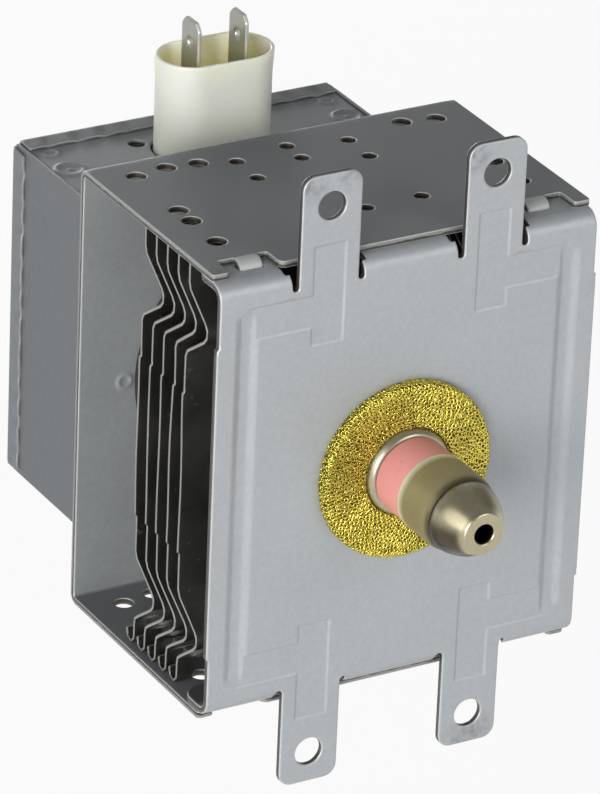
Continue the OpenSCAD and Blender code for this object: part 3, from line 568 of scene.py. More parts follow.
# The tube and lead inside the cap get painted shade
special = {"exhaust_tube": cavity_painted_shade, "antenna_lead": cavity_painted_shade, "capacitor_ground_plate": shadowed}
for part in frame["record"]["subparts"]:
    obj = nodes[part["node"]]
    obj.data.materials.clear()
    obj.data.materials.append(special.get(part["node"], by_slot[part["material_slot"]]))


# Front plate: a pressed sheet with rolled edges, four tabs and shallow beads
ROLL_Z = INNER_TOP - ROLL_R
ROLL_L = ROLL_R * math.pi / 2
FLANGE_V = ROLL_Z + ROLL_L + FLANGE_D - ROLL_R
RELIEF_V = ROLL_Z + ROLL_R * math.acos(1 - SHEET / ROLL_R)


def place_plate(u, v):
    side, w = np.sign(v), np.abs(v)
    z, y, turn = bent(w, ROLL_Z, ROLL_R)
    tab = 1 - smooth_step(np.abs(np.abs(u) - TAB_X), TAB_W / 2 + 0.1, TAB_W / 2 + SLIT_W)
    y = y * (1 - tab)
    z = z * (1 - tab) + w * tab
    turn = turn * (1 - tab)
    points = np.stack((u, y, z * side), 1)
    out = np.stack((np.zeros_like(u), -np.cos(turn), np.sin(turn) * side), 1)
    return points, out


def bead_lift(u, v):
    x, z = np.abs(u), np.abs(v)

    def inset(x0, x1, z0, z1):
        return np.minimum(np.minimum(x - x0, x1 - x), np.minimum(z - z0, z1 - z))

    bar = inset(BAR_IN, BAR_OUT, BAR_Z0, BAR_Z1)
    arm = inset(BAR_IN, ARM_X, ARM_Z0, ARM_Z1)
    sharp = smooth_step(np.maximum(bar, arm), -0.22, 0.22)
    groove = smooth_step(inset(GROOVE_X0, GROOVE_X1, -99, GROOVE_Z), -0.8, 1.2)
    return -np.maximum(BEAD * sharp, GROOVE * groove)


def plate_edge(sign, slit_end):
    """Top or bottom edge of the flat plate, from right to left."""
    run = []
    for s in (1, -1):
        outer = TAB_W / 2 + SLIT_W
        far = outer + RELIEF_W - SLIT_W
        for inner in (1, -1):
            x_slit = s * TAB_X + inner * (TAB_W + SLIT_W) / 2
            slit = [(x, y, 0) for x, y in arc(x_slit, slit_end + SLIT_W / 2, SLIT_W / 2, 0, -180, 10)]
            relief = [
                (s * TAB_X + inner * far, FLANGE_V, 0.6),
                (s * TAB_X + inner * far, RELIEF_V, 0.3),
                (s * TAB_X + inner * outer, RELIEF_V, 0.3),
            ]
            if inner > 0:
                run += relief + slit
                run += [(s * TAB_X + k * TAB_W / 2, TAB_Z + TAB_END, TAB_CORNER) for k in (1, -1)]
            else:
                run += slit + relief[::-1]
    run = [(PLATE_SIDE, FLANGE_V, FLANGE_CORNER)] + run + [(-PLATE_SIDE, FLANGE_V, FLANGE_CORNER)]
    return [(x, sign * y, r) for x, y, r in run]


def side_steps(s):
    """One side edge of the plate, which stands out a little over its middle."""
    wide = PLATE_SIDE + PLATE_STEP
    return [
        (s * PLATE_SIDE, PLATE_STEP_Z + 0.2, 0), (s * wide, PLATE_STEP_Z - 0.2, 0),
        (s * wide, 0.2 - PLATE_STEP_Z, 0), (s * PLATE_SIDE, -0.2 - PLATE_STEP_Z, 0),
    ]


plate_outline = filleted(
    plate_edge(1, SLIT_TOP) + side_steps(-1) + plate_edge(-1, SLIT_BOTTOM)[::-1] + side_steps(1)[::-1]
)
plate_loops = [plate_outline, circle(0, 0, AXIS_HOLE, 64)]
slot_v0 = ROLL_Z + ROLL_L + TONGUE_Y - 0.1 - ROLL_R
slot_v1 = slot_v0 + TONGUE_R + 0.2
slot_w = TONGUE_W / 2 + 0.1
for sx in (-1, 1):
    for sz in (-1, 1):
        plate_loops.append(circle(sx * TAB_X, sz * TAB_Z, SCREW_HOLE, 48))
        slot = [(-1, slot_v0), (1, slot_v0), (1, slot_v1), (-1, slot_v1)]
        plate_loops.append(filleted([(sx * TONGUE_X + k * slot_w, sz * v, 0.2) for k, v in slot]))
fine_u = [s * x for s in (-1, 1) for x in (BAR_IN, BAR_OUT, GROOVE_X0, GROOVE_X1)]
fine_v = [s * z for s in (-1, 1) for z in (BAR_Z0, ARM_Z0, ARM_Z1, BAR_Z1)]
plate_us = spaced(-SIDE - 0.2, SIDE + 0.2, 2.2, fine_u, 0.2, 1.2)
plate_vs = with_bend(spaced(-62, 62, 2.2, fine_v, 0.15), ROLL_Z, ROLL_L, 11)
plate_shape = sheet_mesh(plate_loops, plate_us, sorted(plate_vs), place_plate, SHEET, 0.24, bead_lift)
# Painted shade: the inner faces of the flanges, inside the yoke, are darkened
inner_face = np.abs(plate_shape["verts"][:, 2]) < INNER_TOP - SHEET / 2
mark_painted_shade(plate_shape, inner_face * smooth_step(plate_shape["verts"][:, 1], ROLL_R * 0.8, ROLL_R * 1.4))
plate = new_object("pressed_front_plate", plate_shape, [plate_zinc, plate_cut])
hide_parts("front_plate")

# Yoke: one sheet folded round the back, with tongues bent into the plate's flanges
WALL_Z = HALF_H - FOLD_R
FOLD_L = FOLD_R * math.pi / 2
LIP_V = WALL_Z + FOLD_L + YOKE_D - FOLD_R - LIP_Y
ROOT_V = LIP_V - NOTCH_D
TONGUE_FLAT = LIP_Y + NOTCH_D - TONGUE_Y - TONGUE_R
TONGUE_L = TONGUE_FLAT + TONGUE_R * math.pi / 2 + 1.0


def place_yoke(u, v):
    side, w = np.sign(v), np.abs(v)
    z, forward, turn = bent(w, WALL_Z, FOLD_R)
    y = YOKE_D - forward
    out_y, out_z = np.cos(turn), np.sin(turn)
    tongue = (np.abs(np.abs(u) - TONGUE_X) < TONGUE_W / 2 + 0.05) & (w > ROOT_V + TONGUE_FLAT)
    dip = np.clip((w - ROOT_V - TONGUE_FLAT) / TONGUE_R, 0, math.pi / 2)
    leg = np.maximum(w - ROOT_V - TONGUE_FLAT - TONGUE_R * math.pi / 2, 0)
    y = np.where(tongue, TONGUE_Y + TONGUE_R - TONGUE_R * np.sin(dip), y)
    z = np.where(tongue, HALF_H - TONGUE_R + TONGUE_R * np.cos(dip) - leg, z)
    out_y = np.where(tongue, -np.sin(dip), out_y)
    out_z = np.where(tongue, np.cos(dip), out_z)
    points = np.stack((u, y, z * side), 1)
    return points, np.stack((np.zeros_like(u), out_y, out_z * side), 1)


def yoke_edge(sign):
    x_out = SIDE - NOTCH_IN
    x_in = x_out - NOTCH_W
    t0, t1 = TONGUE_X - TONGUE_W / 2, TONGUE_X + TONGUE_W / 2
    half = [
        (SIDE, LIP_V, 0.7),
        (x_out, LIP_V, 0.8),
        (x_out, ROOT_V, 0.5),
        (t1, ROOT_V, 0.3),
        (t1, ROOT_V + TONGUE_L, 0.5),
        (t0, ROOT_V + TONGUE_L, 0.5),
        (t0, ROOT_V, 0.3),
        (x_in, ROOT_V, 0.5),
        (x_in, LIP_V, 1.4),
    ]
    run = half + [(-x, v, r) for x, v, r in half[::-1]]
    return [(x, sign * v, r) for x, v, r in run]


def plate_v(from_back):
    return WALL_Z + FOLD_L + from_back - FOLD_R


LARGE_R, SMALL_R = 1.85, 1.45
LARGE_SPOTS = [(7.45, 7.4), (14.15, 6.25), (7.45, 23.5), (7.45, 28.3), (7.45, 37.8)]
SMALL_SPOTS = [(11.65, 9.2), (11.65, 17.0), (11.65, 36.1)]
yoke_holes = [(s * (SIDE - x), d, LARGE_R) for s in (-1, 1) for x, d in LARGE_SPOTS]
yoke_holes += [(s * x, d, SMALL_R) for s in (-1, 1) for x, d in SMALL_SPOTS]
yoke_holes += [(0.0, d, SMALL_R) for d in (6.9, 12.6, 36.4)]
yoke_holes += [(20.35 - SIDE, 7.0, LARGE_R)]
yoke_loops = [filleted(yoke_edge(1) + yoke_edge(-1)[::-1]), circle(0, 0, BACK_HOLE, 48)]
for sz in (-1, 1):
    yoke_loops += [circle(x, sz * plate_v(d), r, 36) for x, d, r in yoke_holes]
CLINCH_X = SIDE - 9.5


def yoke_lift(u, v):
    """The clinches of the filter box in the back."""
    rise = np.zeros_like(u)
    for x in (-CLINCH_X, CLINCH_X):
        away = np.hypot(u - x, v)
        rise += -0.30 * np.exp(-(((away - 1.3) / 0.45) ** 2))
    return rise


yoke_vs = with_bend(spaced(-99, 99, 2.6, (0.0,), 0.4, 2.4), WALL_Z, FOLD_L, 9)
bend_vs = ROOT_V + TONGUE_FLAT + np.linspace(0, TONGUE_R * math.pi / 2, 8)
yoke_vs += list(bend_vs) + list(-bend_vs)
yoke_us = spaced(-SIDE, SIDE, 2.6, (-CLINCH_X, CLINCH_X), 0.4, 2.4)
yoke_us += [s * (TONGUE_X + d) for s in (-1, 1) for d in (-1.6, -0.8, 0.0, 0.8, 1.6)]
yoke_shape = sheet_mesh(yoke_loops, sorted(yoke_us), sorted(yoke_vs), place_yoke, SHEET, 0.2, yoke_lift)
yoke_x, yoke_y, yoke_z = np.abs(yoke_shape["verts"]).T
# Painted highlight: the bent tongues are made bright
bright = (np.abs(yoke_x - TONGUE_X) < TONGUE_W / 2 + 0.05) & (yoke_y < LIP_Y + NOTCH_D - 0.2)
yoke_shape["wear_and_highlight"] = np.where(bright, 1.0, yoke_shape["wear_and_highlight"])
# Painted shade: the top and bottom are darker than the back
mark_painted_shade(yoke_shape, smooth_step(yoke_z, WALL_Z, HALF_H - SHEET - 0.1))
# Walls of the holes, browner than the sheared outer edges
for k, face in enumerate(yoke_shape["faces"]):
    x, y, _ = np.mean(yoke_shape["verts"][face], 0)
    if yoke_shape["cut"][k] and abs(x) < SIDE - 2 and LIP_Y + NOTCH_D + 1 < y < YOKE_D - 2:
        yoke_shape["cut"][k] = 2
yoke = new_object("folded_yoke", yoke_shape, [yoke_zinc, yoke_cut, hole_cut])
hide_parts("yoke_frame")


# Cooling fins: thin sheets with zigzag legs, straight at the top and curled at the bottom
FIN_SIDE, FIN_T, FIN_STEP, FIN_STEP_Z = 37.45, 0.6, 0.35, 16.3
FIN_Y = [14.3 + 4.15 * k for k in range(5)]
LEG_W, LUG_W, FIN_HOLE = 17.4, 3.4, 19.33
FOOT_BACK, CURL_R, CURL_TAIL = 0.4, 1.35, 0.8
LEG_ROOT, LEG_ELBOW, LEG_FOOT = INNER_TOP - 18.7, INNER_TOP - 12.2, INNER_TOP - 5.7
LEG_END = INNER_TOP - 0.05


def leg_path(end_z):
    """Centre line of a leg in (y, z), from the tube's axis to its straight end."""
    corners = [(0.0, 0.0, 0), (0.0, LEG_ROOT, 1.6), (-9.21, LEG_ELBOW, 2.3), (-FOOT_BACK, LEG_FOOT, 1.6)]
    closed = filleted(corners + [(-FOOT_BACK, end_z, 0), (60.0, end_z, 0), (60.0, 0.0, 0)])
    return closed[:-2]


CURL_Z = LEG_END - FIN_T / 2 - CURL_R
curl = arc(CURL_R - FOOT_BACK, CURL_Z, CURL_R, 180, 0, 14)[1:]
upper_path = np.array(leg_path(LEG_END))
lower_path = np.array(leg_path(CURL_Z) + curl + [(2 * CURL_R - FOOT_BACK, CURL_Z - CURL_TAIL)])


def run_along(path):
    """Length along a path at each point, and the direction there."""
    length = run_length(path)
    ahead = np.gradient(path, length, axis=0)
    return length, ahead / np.linalg.norm(ahead, axis=1)[:, None]


upper_s, upper_dir = run_along(upper_path)
lower_s, lower_dir = run_along(lower_path)


# Points of a leg before its curl
STRAIGHT_POINTS = 24


def along(path, length, z):
    """Length along the straight part of a leg where it reaches height z."""
    return float(np.interp(z, path[:STRAIGHT_POINTS, 1], length[:STRAIGHT_POINTS]))


def fin_placer(y0, seed):
    wave = random.Random(seed)
    tilt = [wave.uniform(-1, 1) for _ in range(5)]

    def place(u, v):
        top, w = v >= 0, np.abs(v)

        def either(column, directions):
            upper, lower = (upper_dir, lower_dir) if directions else (upper_path, lower_path)
            high = np.interp(w, upper_s, upper[:, column])
            return np.where(top, high, np.interp(w, lower_s, lower[:, column]))

        y, z = either(0, False), either(1, False)
        dy, dz = either(0, True), either(1, True)
        length = np.hypot(dy, dz)
        side = np.where(top, 1.0, -1.0)
        out = np.stack((np.zeros_like(u), -dz / length, dy / length * side), 1)
        edge = smooth_step(np.abs(u), 20.0, FIN_SIDE)
        calm = 1 - smooth_step(w, 30.0, 44.0)
        bend = 0.24 * tilt[0] * np.sin(v * 0.11 + 3 * tilt[1])
        bend += 0.2 * tilt[2] * np.sin(v * 0.23 + 3 * tilt[3])
        shift = edge * calm * np.where(u < 0, bend, bend * tilt[4])
        points = np.stack((u, y0 + y + shift, z * side), 1) + out * FIN_T / 2
        return points, out

    return place


core_v = along(upper_path, upper_s, LEG_ROOT - 1.6)
foot_v = along(lower_path, lower_s, 38.2)
top_v, low_v = float(upper_s[-1]), -float(lower_s[-1])
gap = FIN_SIDE - LEG_W
lug = FIN_SIDE - LUG_W
wide = FIN_SIDE + FIN_STEP
right_half = [
    (gap, -core_v, 1.0), (gap, -foot_v, 0.5), (lug, -foot_v, 0.4), (lug, low_v, 0.4), (FIN_SIDE, low_v, 0.3),
    (FIN_SIDE, -FIN_STEP_Z, 0), (wide, 0.3 - FIN_STEP_Z, 0), (wide, FIN_STEP_Z - 0.3, 0),
    (FIN_SIDE, FIN_STEP_Z, 0), (FIN_SIDE, top_v, 0.3), (gap, top_v, 0.5), (gap, core_v, 1.0),
]
fin_outline = filleted(right_half + [(-x, v, r) for x, v, r in right_half[::-1]])
fin_vs = sorted(set(np.round(np.concatenate((upper_s, -lower_s, np.linspace(-23, 23, 17))), 4)))
fin_us = spaced(-wide, wide, 2.4)
for k, y0 in enumerate(FIN_Y, 1):
    body = sheet_mesh(
        [fin_outline, circle(0, 0, FIN_HOLE, 72)], fin_us, fin_vs, fin_placer(y0, k), FIN_T, 0.06, step=1.5
    )
    collar = form(*lathe(ring_profile(FIN_HOLE, FIN_HOLE + FIN_T, y0, y0 + 1.9, 0.15), 72))
    fin = new_object(f"zigzag_fin_{k}", joined([body, collar]), [fin_metal, fin_cut])
    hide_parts(f"cooling_fin_{k}")


# Antenna: seal lip, ceramic and cap, each turned about the axis
TURN_STEPS, HIGHLIGHT_RINGS = 128, 4


def turned_piece(name, profile, materials, node, split=None, bright=0.0, painted_shade=None):
    """A turned piece; from ring split on it has the second material, and its first rings may carry a painted
    highlight.
    """
    shape = form(*lathe(profile, TURN_STEPS))
    if split is not None:
        shape["cut"] = [1 if i >= split * TURN_STEPS else 0 for i in range(len(shape["faces"]))]
    shape["wear_and_highlight"][:HIGHLIGHT_RINGS * TURN_STEPS] = bright
    if painted_shade is not None:
        shape["across"] = painted_shade(shape["verts"])
    obj = new_object(name, shape, materials)
    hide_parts(node)


turned_piece(
    "output_window", ring_profile(5.55, CERAMIC_R, CERAMIC_Y0, CERAMIC_Y1, 0.25),
    [pink_ceramic], "output_ceramic",
)
cap_profile = [(CAP_R - 0.55, CERAMIC_Y0 - 0.1), (CAP_R - 0.1, CERAMIC_Y0), (CAP_R, CERAMIC_Y0 - 0.12)]
cap_profile += [(CAP_R, CERAMIC_Y0 - d) for d in (0.3, 2, 4, 6, 7.4, 7.9)]
cap_profile += [(7.56, -19.7), (7.47, -20.15), (7.32, -20.55), (7.12, -20.9), (6.92, -21.15), (6.8, -21.35)]
NOSE_AT = len(cap_profile) - 1
cap_profile += [(6.86, -21.55), (7.0, -21.75)]
cap_profile += [(7.03 - 2.75 * share**1.6, -21.85 - 6.75 * share) for share in np.linspace(0.04, 1, 16)]
cap_profile += [(4.2, -28.85), (4.05, -29.05), (3.85, -29.17), (3.6, CAP_TIP), (2.25, CAP_TIP)]
cap_profile += [(2.03, -29.12), (1.93, -28.9), (1.93, -28.2), (3.2, -28.0), (4.6, -26.1), (6.2, -23.1)]
cap_profile += [(6.4, -21.2), (7.05, -19.2)]
cap_profile += [(7.05, CERAMIC_Y0 - 0.1), (CAP_R - 0.55, CERAMIC_Y0 - 0.1)]
CREASE_Y = cap_profile[NOSE_AT][1]


def cap_painted_shade_mask(verts):
    """Painted shade in the crease behind the nose, and painted dark reflection along the lower left and
    upper right of the nose.
    """
    x, y, z = np.asarray(verts).T
    crease = 1 - smooth_step(np.abs(y - CREASE_Y), 0.2, 1.5)
    nose = smooth_step(CREASE_Y - y, 0.2, 1.5) * (1 - smooth_step(CREASE_Y - y, 6.0, 7.3))
    toward = (x + z) / np.maximum(np.hypot(x, z), 0.1)
    sides = 0.9 * smooth_step(-toward, 0.45, 1.1) + 0.45 * smooth_step(toward, 0.9, 1.4)
    return np.maximum(0.9 * crease, nose * sides)


# The cap's rear rim carries a painted highlight
turned_piece(
    "drawn_antenna_cap", cap_profile, [cap_nickel, cap_nose], "antenna_cap",
    NOSE_AT, 1.0, cap_painted_shade_mask,
)
seal = [(8.2, 13.3), (8.0, -2.0), (7.5, -2.6), (5.7, -2.85), (5.55, -3.1), (5.7, -3.46), (7.5, -3.48)]
seal += [(7.75, -3.42), (8.0, -3.2), (8.25, -2.85), (8.45, -2.4), (8.6, -1.8), (8.72, -1.0)]
seal += [(SEAL_R, 0.0), (SEAL_R, 12.8), (18.8, 12.9), (18.9, 13.15), (18.8, 13.4), (8.2, 13.3)]
turned_piece("seal_sleeve", seal, [seal_silver], "front_metal_seal")

# Gasket: a dark core ring, painted shade for the depth of the knit, under rows of knitted wire loops
core = filleted([
    (SEAL_R + 0.12, 0.0, 0.1), (GASKET_R - 0.45, 0.0, 0.1),
    (GASKET_R - 0.45, 0.45 - GASKET_H, 0.8), (SEAL_R + 0.12, 0.45 - GASKET_H, 0.5),
])
core_shape = form(*lathe(core + core[:1], 96))
new_object("gasket_shade_core", core_shape, [knit_depth_shade])


def wire_tube(path, radius, sides=5):
    """A thin closed wire along a loop of points."""
    path = np.array(path)
    ahead = np.roll(path, -1, 0) - np.roll(path, 1, 0)
    ahead /= np.linalg.norm(ahead, axis=1)[:, None]
    across = np.cross(ahead, np.array((0.3, -1.0, 0.2)))
    across /= np.maximum(np.linalg.norm(across, axis=1), 1e-6)[:, None]
    up = np.cross(across, ahead)
    angles = [2 * math.pi * (k + 0.5) / sides for k in range(sides)]
    rings = [path + radius * (across * math.cos(a) + up * math.sin(a)) for a in angles]
    count = len(path)
    faces = []
    for i in range(count):
        j = (i + 1) % count
        for k in range(sides):
            m = (k + 1) % sides
            faces.append([i * sides + k, j * sides + k, j * sides + m, i * sides + m])
    return form(np.stack(rings, 1).reshape(-1, 3), faces)


# Section of the knit, from the seal over the front to the plate at its outer side
KNIT_IN, KNIT_OUT, KNIT_TOP = SEAL_R - 0.05, GASKET_R - 0.22, GASKET_H - 0.26
section = [(KNIT_IN, -KNIT_TOP + 0.9)] + arc(KNIT_IN + 0.5, -KNIT_TOP + 0.5, 0.5, 180, 270, 4)
section += arc(KNIT_OUT - 1.0, -KNIT_TOP + 1.0, 1.0, 270, 360, 6) + [(KNIT_OUT, -0.15)]
section = np.array(section)
section_s = run_length(section)
knit = random.Random(7)
wires = []
ROWS, LOOP, PER, WIRE_R = 15, 1.15, 10, 0.14
for row in range(ROWS):
    s0 = 0.3 + (section_s[-1] - 0.6) * row / (ROWS - 1)
    r0 = float(np.interp(s0, section_s, section[:, 0]))
    loops = int(round(2 * math.pi * r0 / LOOP))
    phase = knit.uniform(0, 2 * math.pi)
    jitter = [[knit.uniform(-1, 1) for _ in range(3)] for _ in range(loops)]
    path = []
    for i in range(loops * PER):
        t = i / PER
        part = t - int(t)
        ds, dt, dh = (
            a + (b - a) * part for a, b in zip(jitter[int(t) % loops], jitter[(int(t) + 1) % loops])
        )
        swing = 2 * math.pi * part
        angle = phase + 2 * math.pi * (t + 0.35 * dt + 0.3 * math.sin(2 * swing)) / loops
        s = min(max(s0 + 0.62 * math.cos(swing) + 0.3 * ds, 0.0), section_s[-1])
        r = float(np.interp(s, section_s, section[:, 0]))
        y = float(np.interp(s, section_s, section[:, 1])) + 0.14 * math.cos(2 * swing + 0.6) + 0.12 * dh
        y = min(max(y, 0.17 - GASKET_H), -0.16)
        path.append((r * math.sin(angle), y, r * math.cos(angle)))
    wires.append(wire_tube(path, WIRE_R))
knit_obj = new_object("knitted_gasket", joined(wires), [gasket_wire])
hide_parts("rf_gasket")


# Filter box: a folded U between two side walls, and a crimped lid
BOX_FOLD = 1.2
BOX_IN = BOX_HALF - BOX_SHEET
TOP_Z = BOX_HALF - 0.25
BOX_WALL = TOP_Z - BOX_FOLD
BOX_ARC = BOX_FOLD * math.pi / 2
PIERCED_X, PIERCED_BACK, PIERCED_R = 12.8, 8.6, 1.7
RING_X, RINGS = 29.5, ((BOX_Y1 - 6.1, 1.4), (BOX_Y1 - 13.9, 2.6))


def place_box(u, v):
    side = np.sign(v)
    z, back_y, turn = bent(np.abs(v), BOX_WALL, BOX_FOLD)
    points = np.stack((u, YOKE_D + back_y, z * side), 1)
    return points, np.stack((np.zeros_like(u), -np.cos(turn), np.sin(turn) * side), 1)


def box_v(y):
    return BOX_WALL + BOX_ARC + y - YOKE_D - BOX_FOLD


BOX_V = box_v(BOX_Y1)


def stadium(cx, cy, length, width, steps=20):
    half = (length - width) / 2
    return arc(cx + half, cy, width / 2, -90, 90, steps) + arc(cx - half, cy, width / 2, 90, 270, steps)


def box_lift(u, v):
    """Round clinches near the corners of the top: a raised ring about a dish with a small boss."""
    rise = np.zeros_like(u)
    for x in (-RING_X, RING_X):
        for y, r in RINGS:
            away = np.hypot(u - x, v - box_v(y))
            rise += 0.3 * np.exp(-(((away - r) / 0.35) ** 2)) - 0.2 * np.exp(-((away / (r * 0.6)) ** 2))
            rise += 0.3 * np.exp(-((away / 0.55) ** 2))
    return rise


box_vs = spaced(-BOX_V, BOX_V, 2.6, [box_v(y) for y, _ in RINGS], 0.35, 3.6)
box_vs = with_bend(box_vs, BOX_WALL, BOX_ARC, 7)
box_us = spaced(-BOX_IN, BOX_IN, 2.6, (-RING_X, RING_X), 0.35, 3.4)
box_loops = [
    filleted([(BOX_IN, -BOX_V, 0.2), (BOX_IN, BOX_V, 0.2), (-BOX_IN, BOX_V, 0.2), (-BOX_IN, -BOX_V, 0.2)]),
    circle(0, 0, BACK_HOLE, 40),
    stadium(0, box_v(CONN_Y), CONN_L + 1.0, CONN_W + 1.0),
    circle(-PIERCED_X, box_v(BOX_Y1 - PIERCED_BACK), PIERCED_R, 28),
]
shell = sheet_mesh(box_loops, box_us, sorted(box_vs), place_box, BOX_SHEET, 0.15, box_lift, step=1.6)
# The folded U takes the lighter copy, the side walls the darker one
shell["cut"] = [1 if cut else 2 for cut in shell["cut"]]
wall_outline = filleted([
    (YOKE_D, -BOX_HALF, 0.6), (BOX_Y1, -BOX_HALF, 0.2), (BOX_Y1, BOX_HALF, 0.2), (YOKE_D, BOX_HALF, 0.6),
])
walls = [
    sheet_mesh(
        [wall_outline], spaced(YOKE_D, BOX_Y1, 3), spaced(-BOX_HALF, BOX_HALF, 3),
        side_placer(sign, sign * BOX_HALF, 0.0), BOX_SHEET, 0.15, step=2.5,
    )
    for sign in (-1.0, 1.0)
]
box = new_object("folded_filter_box", joined([shell] + walls), [box_side_shaded_zinc, box_cut, box_top_lit_zinc])
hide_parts("filter_box")

LID_FOLD = 0.9
LID_FLAT = LID_HALF - LID_FOLD
LID_ARC = LID_FOLD * math.pi / 2
LID_V = LID_FLAT + LID_ARC + LID_RIM - LID_FOLD
CRIMP, LAST_CRIMP, DENTS = 5.7, 7, 16


def place_lid(u, v):
    side_x, side_z = np.sign(u), np.sign(v)
    x, back_x, turn_x = bent(np.abs(u), LID_FLAT, LID_FOLD)
    z, back_z, turn_z = bent(np.abs(v), LID_FLAT, LID_FOLD)
    points = np.stack((x * side_x, LID_Y - back_x - back_z, z * side_z), 1)
    out = np.stack((np.sin(turn_x) * side_x, np.cos(turn_x) * np.cos(turn_z), np.sin(turn_z) * side_z), 1)
    return points, out


lid_dents = random.Random(3)
dent_depth = np.array([lid_dents.uniform(0.14, 0.42) for _ in range(DENTS)])
dent_shift = np.array([lid_dents.uniform(-0.8, 0.8) for _ in range(DENTS)])


def lid_lift(u, v):
    """Crimps along the rim, each a shallow dent that bites into the box."""
    on_side = np.abs(u) > LID_FLAT + LID_ARC * 0.5
    on_top = np.abs(v) > LID_FLAT + LID_ARC * 0.5
    run = np.where(on_side, v, u)
    depth = np.where(on_side, np.abs(u), np.abs(v)) - LID_FLAT - LID_ARC
    number = np.clip(np.round(run / CRIMP), -LAST_CRIMP, LAST_CRIMP).astype(int) + LAST_CRIMP
    away = run - (number - LAST_CRIMP) * CRIMP - dent_shift[number]
    dent = dent_depth[number] * np.exp(-((away / 1.1) ** 2)) * smooth_step(depth, -0.6, 2.6)
    return np.where(on_side | on_top, -dent, 0.0)


CORNER_IN, RIM_END = LID_FLAT - 0.2, LID_HALF - 1.5
quarter = [(LID_V, RIM_END, 0.4), (RIM_END, CORNER_IN, 0.3), (RIM_END, LID_V, 0.4)]
lid_outline = quarter + [(-x, y, r) for x, y, r in quarter[::-1]]
lid_outline = filleted(lid_outline + [(x, -y, r) for x, y, r in lid_outline[::-1]])
crimp_at = [CRIMP * k for k in range(1 - LAST_CRIMP, LAST_CRIMP)]
lid_lines = spaced(-LID_FLAT, LID_FLAT, 2.8, crimp_at, 0.5, 2.0)
rim_lines = list(LID_FLAT + np.linspace(0, LID_ARC, 6)) + list(np.linspace(LID_FLAT + LID_ARC, LID_V, 7))
lid_lines = sorted(lid_lines + rim_lines + [-x for x in rim_lines])
lid_shape = sheet_mesh([lid_outline], lid_lines, lid_lines, place_lid, LID_SHEET, 0.12, lid_lift, step=1.2)
lid = new_object("crimped_lid", lid_shape, [lid_zinc, box_cut])
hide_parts("filter_lid")


# Connector shroud: an oval tube that thins and flares a little to a soft rim
def oval_ring(grow, z, steps=24):
    return [(x, y, z) for x, y in stadium(0, CONN_Y, CONN_L + 2 * grow, CONN_W + 2 * grow, steps)]


shroud_rings = [(-0.8, BOX_IN), (-0.1, BOX_IN), (0.0, BOX_IN + 0.1)]
shroud_rings += [(0.0, z) for z in (36, 40, 44, 46.5)]
shroud_rings += [(0.03, 48.0), (0.1, 49.6), (0.2, 51.2), (0.27, 52.1), (0.24, 52.38), (0.1, RIM_Z)]
shroud_rings += [(-0.3, RIM_Z), (-0.48, 52.42), (-0.56, 52.15), (-0.6, 51.2), (-0.66, 49.6), (-0.71, 48.0)]
shroud_rings += [(-0.75, 45.5), (-0.78, 42.0), (-0.8, 39.0), (-0.8, BOX_IN)]
ring_points = [oval_ring(g, z) for g, z in shroud_rings]
shroud_faces = ring_faces(len(ring_points), len(ring_points[0]))
shroud_shape = form([p for ring in ring_points for p in ring], shroud_faces)
shroud = new_object("connector_shroud", shroud_shape, [cream_plastic])
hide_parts("connector_housing")

# Blade terminals, with coined tips and a latch hole
TIP_HALF, TIP_DROP, LATCH_Z, LATCH_R = 1.93, 1.45, BLADE_TOP - 4.6, 0.85
blade_loops = [
    filleted([
        (-BLADE_W / 2, BLADE_LOW, 0), (BLADE_W / 2, BLADE_LOW, 0), (BLADE_W / 2, BLADE_TOP - TIP_DROP, 0.7),
        (TIP_HALF, BLADE_TOP, 0.6), (-TIP_HALF, BLADE_TOP, 0.6), (-BLADE_W / 2, BLADE_TOP - TIP_DROP, 0.7),
    ]),
    circle(0, LATCH_Z, LATCH_R, 24),
]


def blade_lift(u, v):
    """A dished rim round the latch hole."""
    away = np.hypot(u, v - LATCH_Z) - LATCH_R
    return -0.12 * np.exp(-((away / 0.35) ** 2))


blade_us = spaced(-BLADE_W / 2, BLADE_W / 2, 0.5)
blade_vs = spaced(BLADE_LOW, BLADE_TOP, 2, (LATCH_Z,), 0.4, 2.0)
for k, x in enumerate((-BLADE_X, BLADE_X), 1):
    facing = side_placer(-1.0, x - BLADE_T / 2, CONN_Y)
    blade_shape = sheet_mesh(blade_loops, blade_us, blade_vs, facing, BLADE_T, 0.2, blade_lift, step=0.8)
    blade = new_object(f"blade_terminal_{k}", blade_shape, [blade_tin, blade_cut])
    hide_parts(f"terminal_tab_{k}")


def direction(a, e):
    """From the object toward azimuth a and elevation e."""
    return Vector((math.sin(a) * math.cos(e), -math.cos(a) * math.cos(e), math.sin(e)))


# Camera at the photograph's angle
AZIMUTH, ELEVATION, ROLL = map(math.radians, (-30.294, 26.408, 2.454))
TARGET = Vector((-10.116, 20.0, 7.04)) * MM
DISTANCE = 1153.5 * MM
FOCAL_PX, CENTRE_PX = 6348.7, (300.6, 397.18)
WIDE_PX, TALL_PX = 600, 794
back = direction(AZIMUTH, ELEVATION)
right = Vector((math.cos(AZIMUTH), math.sin(AZIMUTH), 0))
up = back.cross(right)
right_rolled = right * math.cos(ROLL) + up * math.sin(ROLL)
up_rolled = up * math.cos(ROLL) - right * math.sin(ROLL)
camera_data = bpy.data.cameras.new("camera")
camera_data.sensor_width = 36
camera_data.lens = FOCAL_PX * 36 / TALL_PX
camera_data.shift_x = (WIDE_PX / 2 - CENTRE_PX[0]) / TALL_PX
camera_data.shift_y = (CENTRE_PX[1] - TALL_PX / 2) / TALL_PX
camera_data.clip_start, camera_data.clip_end = 0.01, 100
camera = bpy.data.objects.new("camera", camera_data)
camera.matrix_world = Matrix.Translation(TARGET + back * DISTANCE) @ Matrix(
    (right_rolled, up_rolled, back)
).transposed().to_4x4()
bpy.context.scene.collection.objects.link(camera)
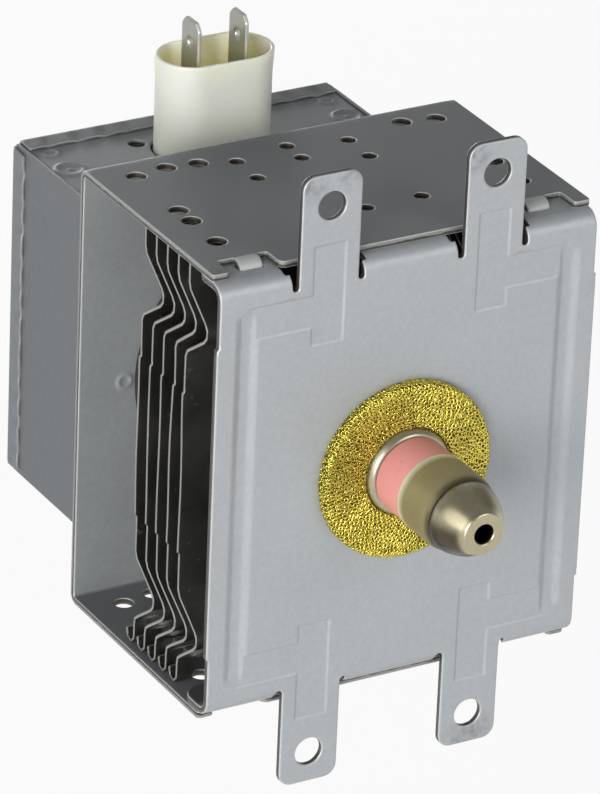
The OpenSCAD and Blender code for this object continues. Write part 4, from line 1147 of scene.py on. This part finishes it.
bpy.context.scene.camera = camera


# Light, backdrop and floor
def area_light(name, azimuth, elevation, distance, size, level):
    """A round soft lamp; level is the light it gives a white surface that faces it."""
    aim = Vector((0.0, 0.02, 0.0))
    toward = direction(math.radians(azimuth), math.radians(elevation))
    data = bpy.data.lights.new(name, "AREA")
    data.shape = "DISK"
    data.size = size
    data.energy = level * math.pi**2 * distance**2
    obj = bpy.data.objects.new(name, data)
    obj.location = aim + toward * distance
    obj.rotation_euler = (-toward).to_track_quat("-Z", "Y").to_euler()
    bpy.context.scene.collection.objects.link(obj)


area_light("key", -48, 10, 1.5, 0.8, 0.75)
area_light("fill", 25, 30, 1.6, 0.9, 0.25)
area_light("strip", -72, 22, 1.3, 1.2, 0.28)
area_light("rear", 170, 7, 1.5, 0.8, 0.45)


def seen_directly(net):
    """1 for camera, glossy and transmission rays."""
    path = net.nodes.new("ShaderNodeLightPath").outputs
    either = combined(net, "MAXIMUM", path["Is Camera Ray"], path["Is Glossy Ray"])
    return combined(net, "MAXIMUM", either, path["Is Transmission Ray"])


def chosen(net, factor, first, second, output):
    """Sends first to the output, or second where the factor is 1."""
    choose = net.nodes.new("ShaderNodeMixShader")
    for source, socket in zip((factor, first, second), choose.inputs):
        net.links.new(source, socket)
    net.links.new(choose.outputs["Shader"], net.nodes[output].inputs["Surface"])


world = bpy.data.worlds.new("studio")
bpy.context.scene.world = world
world.use_nodes = True
sky = world.node_tree
soft = sky.nodes["Background"]
dial(soft, {"Color": (0.92, 0.96, 1.0, 1), "Strength": 0.16})
# A white backdrop round the object, under a darker ceiling
white = sky.nodes.new("ShaderNodeBackground")
where = sky.nodes.new("ShaderNodeTexCoord")
axes = sky.nodes.new("ShaderNodeSeparateXYZ")
sky.links.new(where.outputs["Generated"], axes.inputs["Vector"])
sky.links.new(ramp(sky, axes.outputs["Z"], 0.08, 0.4, 1.0, 0.32), white.inputs["Strength"])
chosen(sky, seen_directly(sky), soft.outputs["Background"], white.outputs["Background"], "World Output")

FLOOR_Z, FLOOR_HALF = -0.16, 6
floor_mesh = bpy.data.meshes.new("floor")
corners = [(x * FLOOR_HALF, y * FLOOR_HALF, FLOOR_Z) for x, y in ((-1, -1), (1, -1), (1, 1), (-1, 1))]
floor_mesh.from_pydata(corners, [], [(0, 1, 2, 3)])
floor = bpy.data.objects.new("floor", floor_mesh)
bpy.context.scene.collection.objects.link(floor)
floor_material, ground, floor_shader = tree("floor")
dial(floor_shader, {"Base Color": (0.9, 0.9, 0.9, 1), "Roughness": 0.9})
glow = ground.nodes.new("ShaderNodeEmission")
dial(glow, {"Strength": 1.0})
shown_white = combined(ground, "MULTIPLY", seen_directly(ground), 0.9)
chosen(ground, shown_white, floor_shader.outputs["BSDF"], glow.outputs["Emission"], "Material Output")
floor_mesh.materials.append(floor_material)

bpy.context.scene.view_settings.view_transform = "Standard"
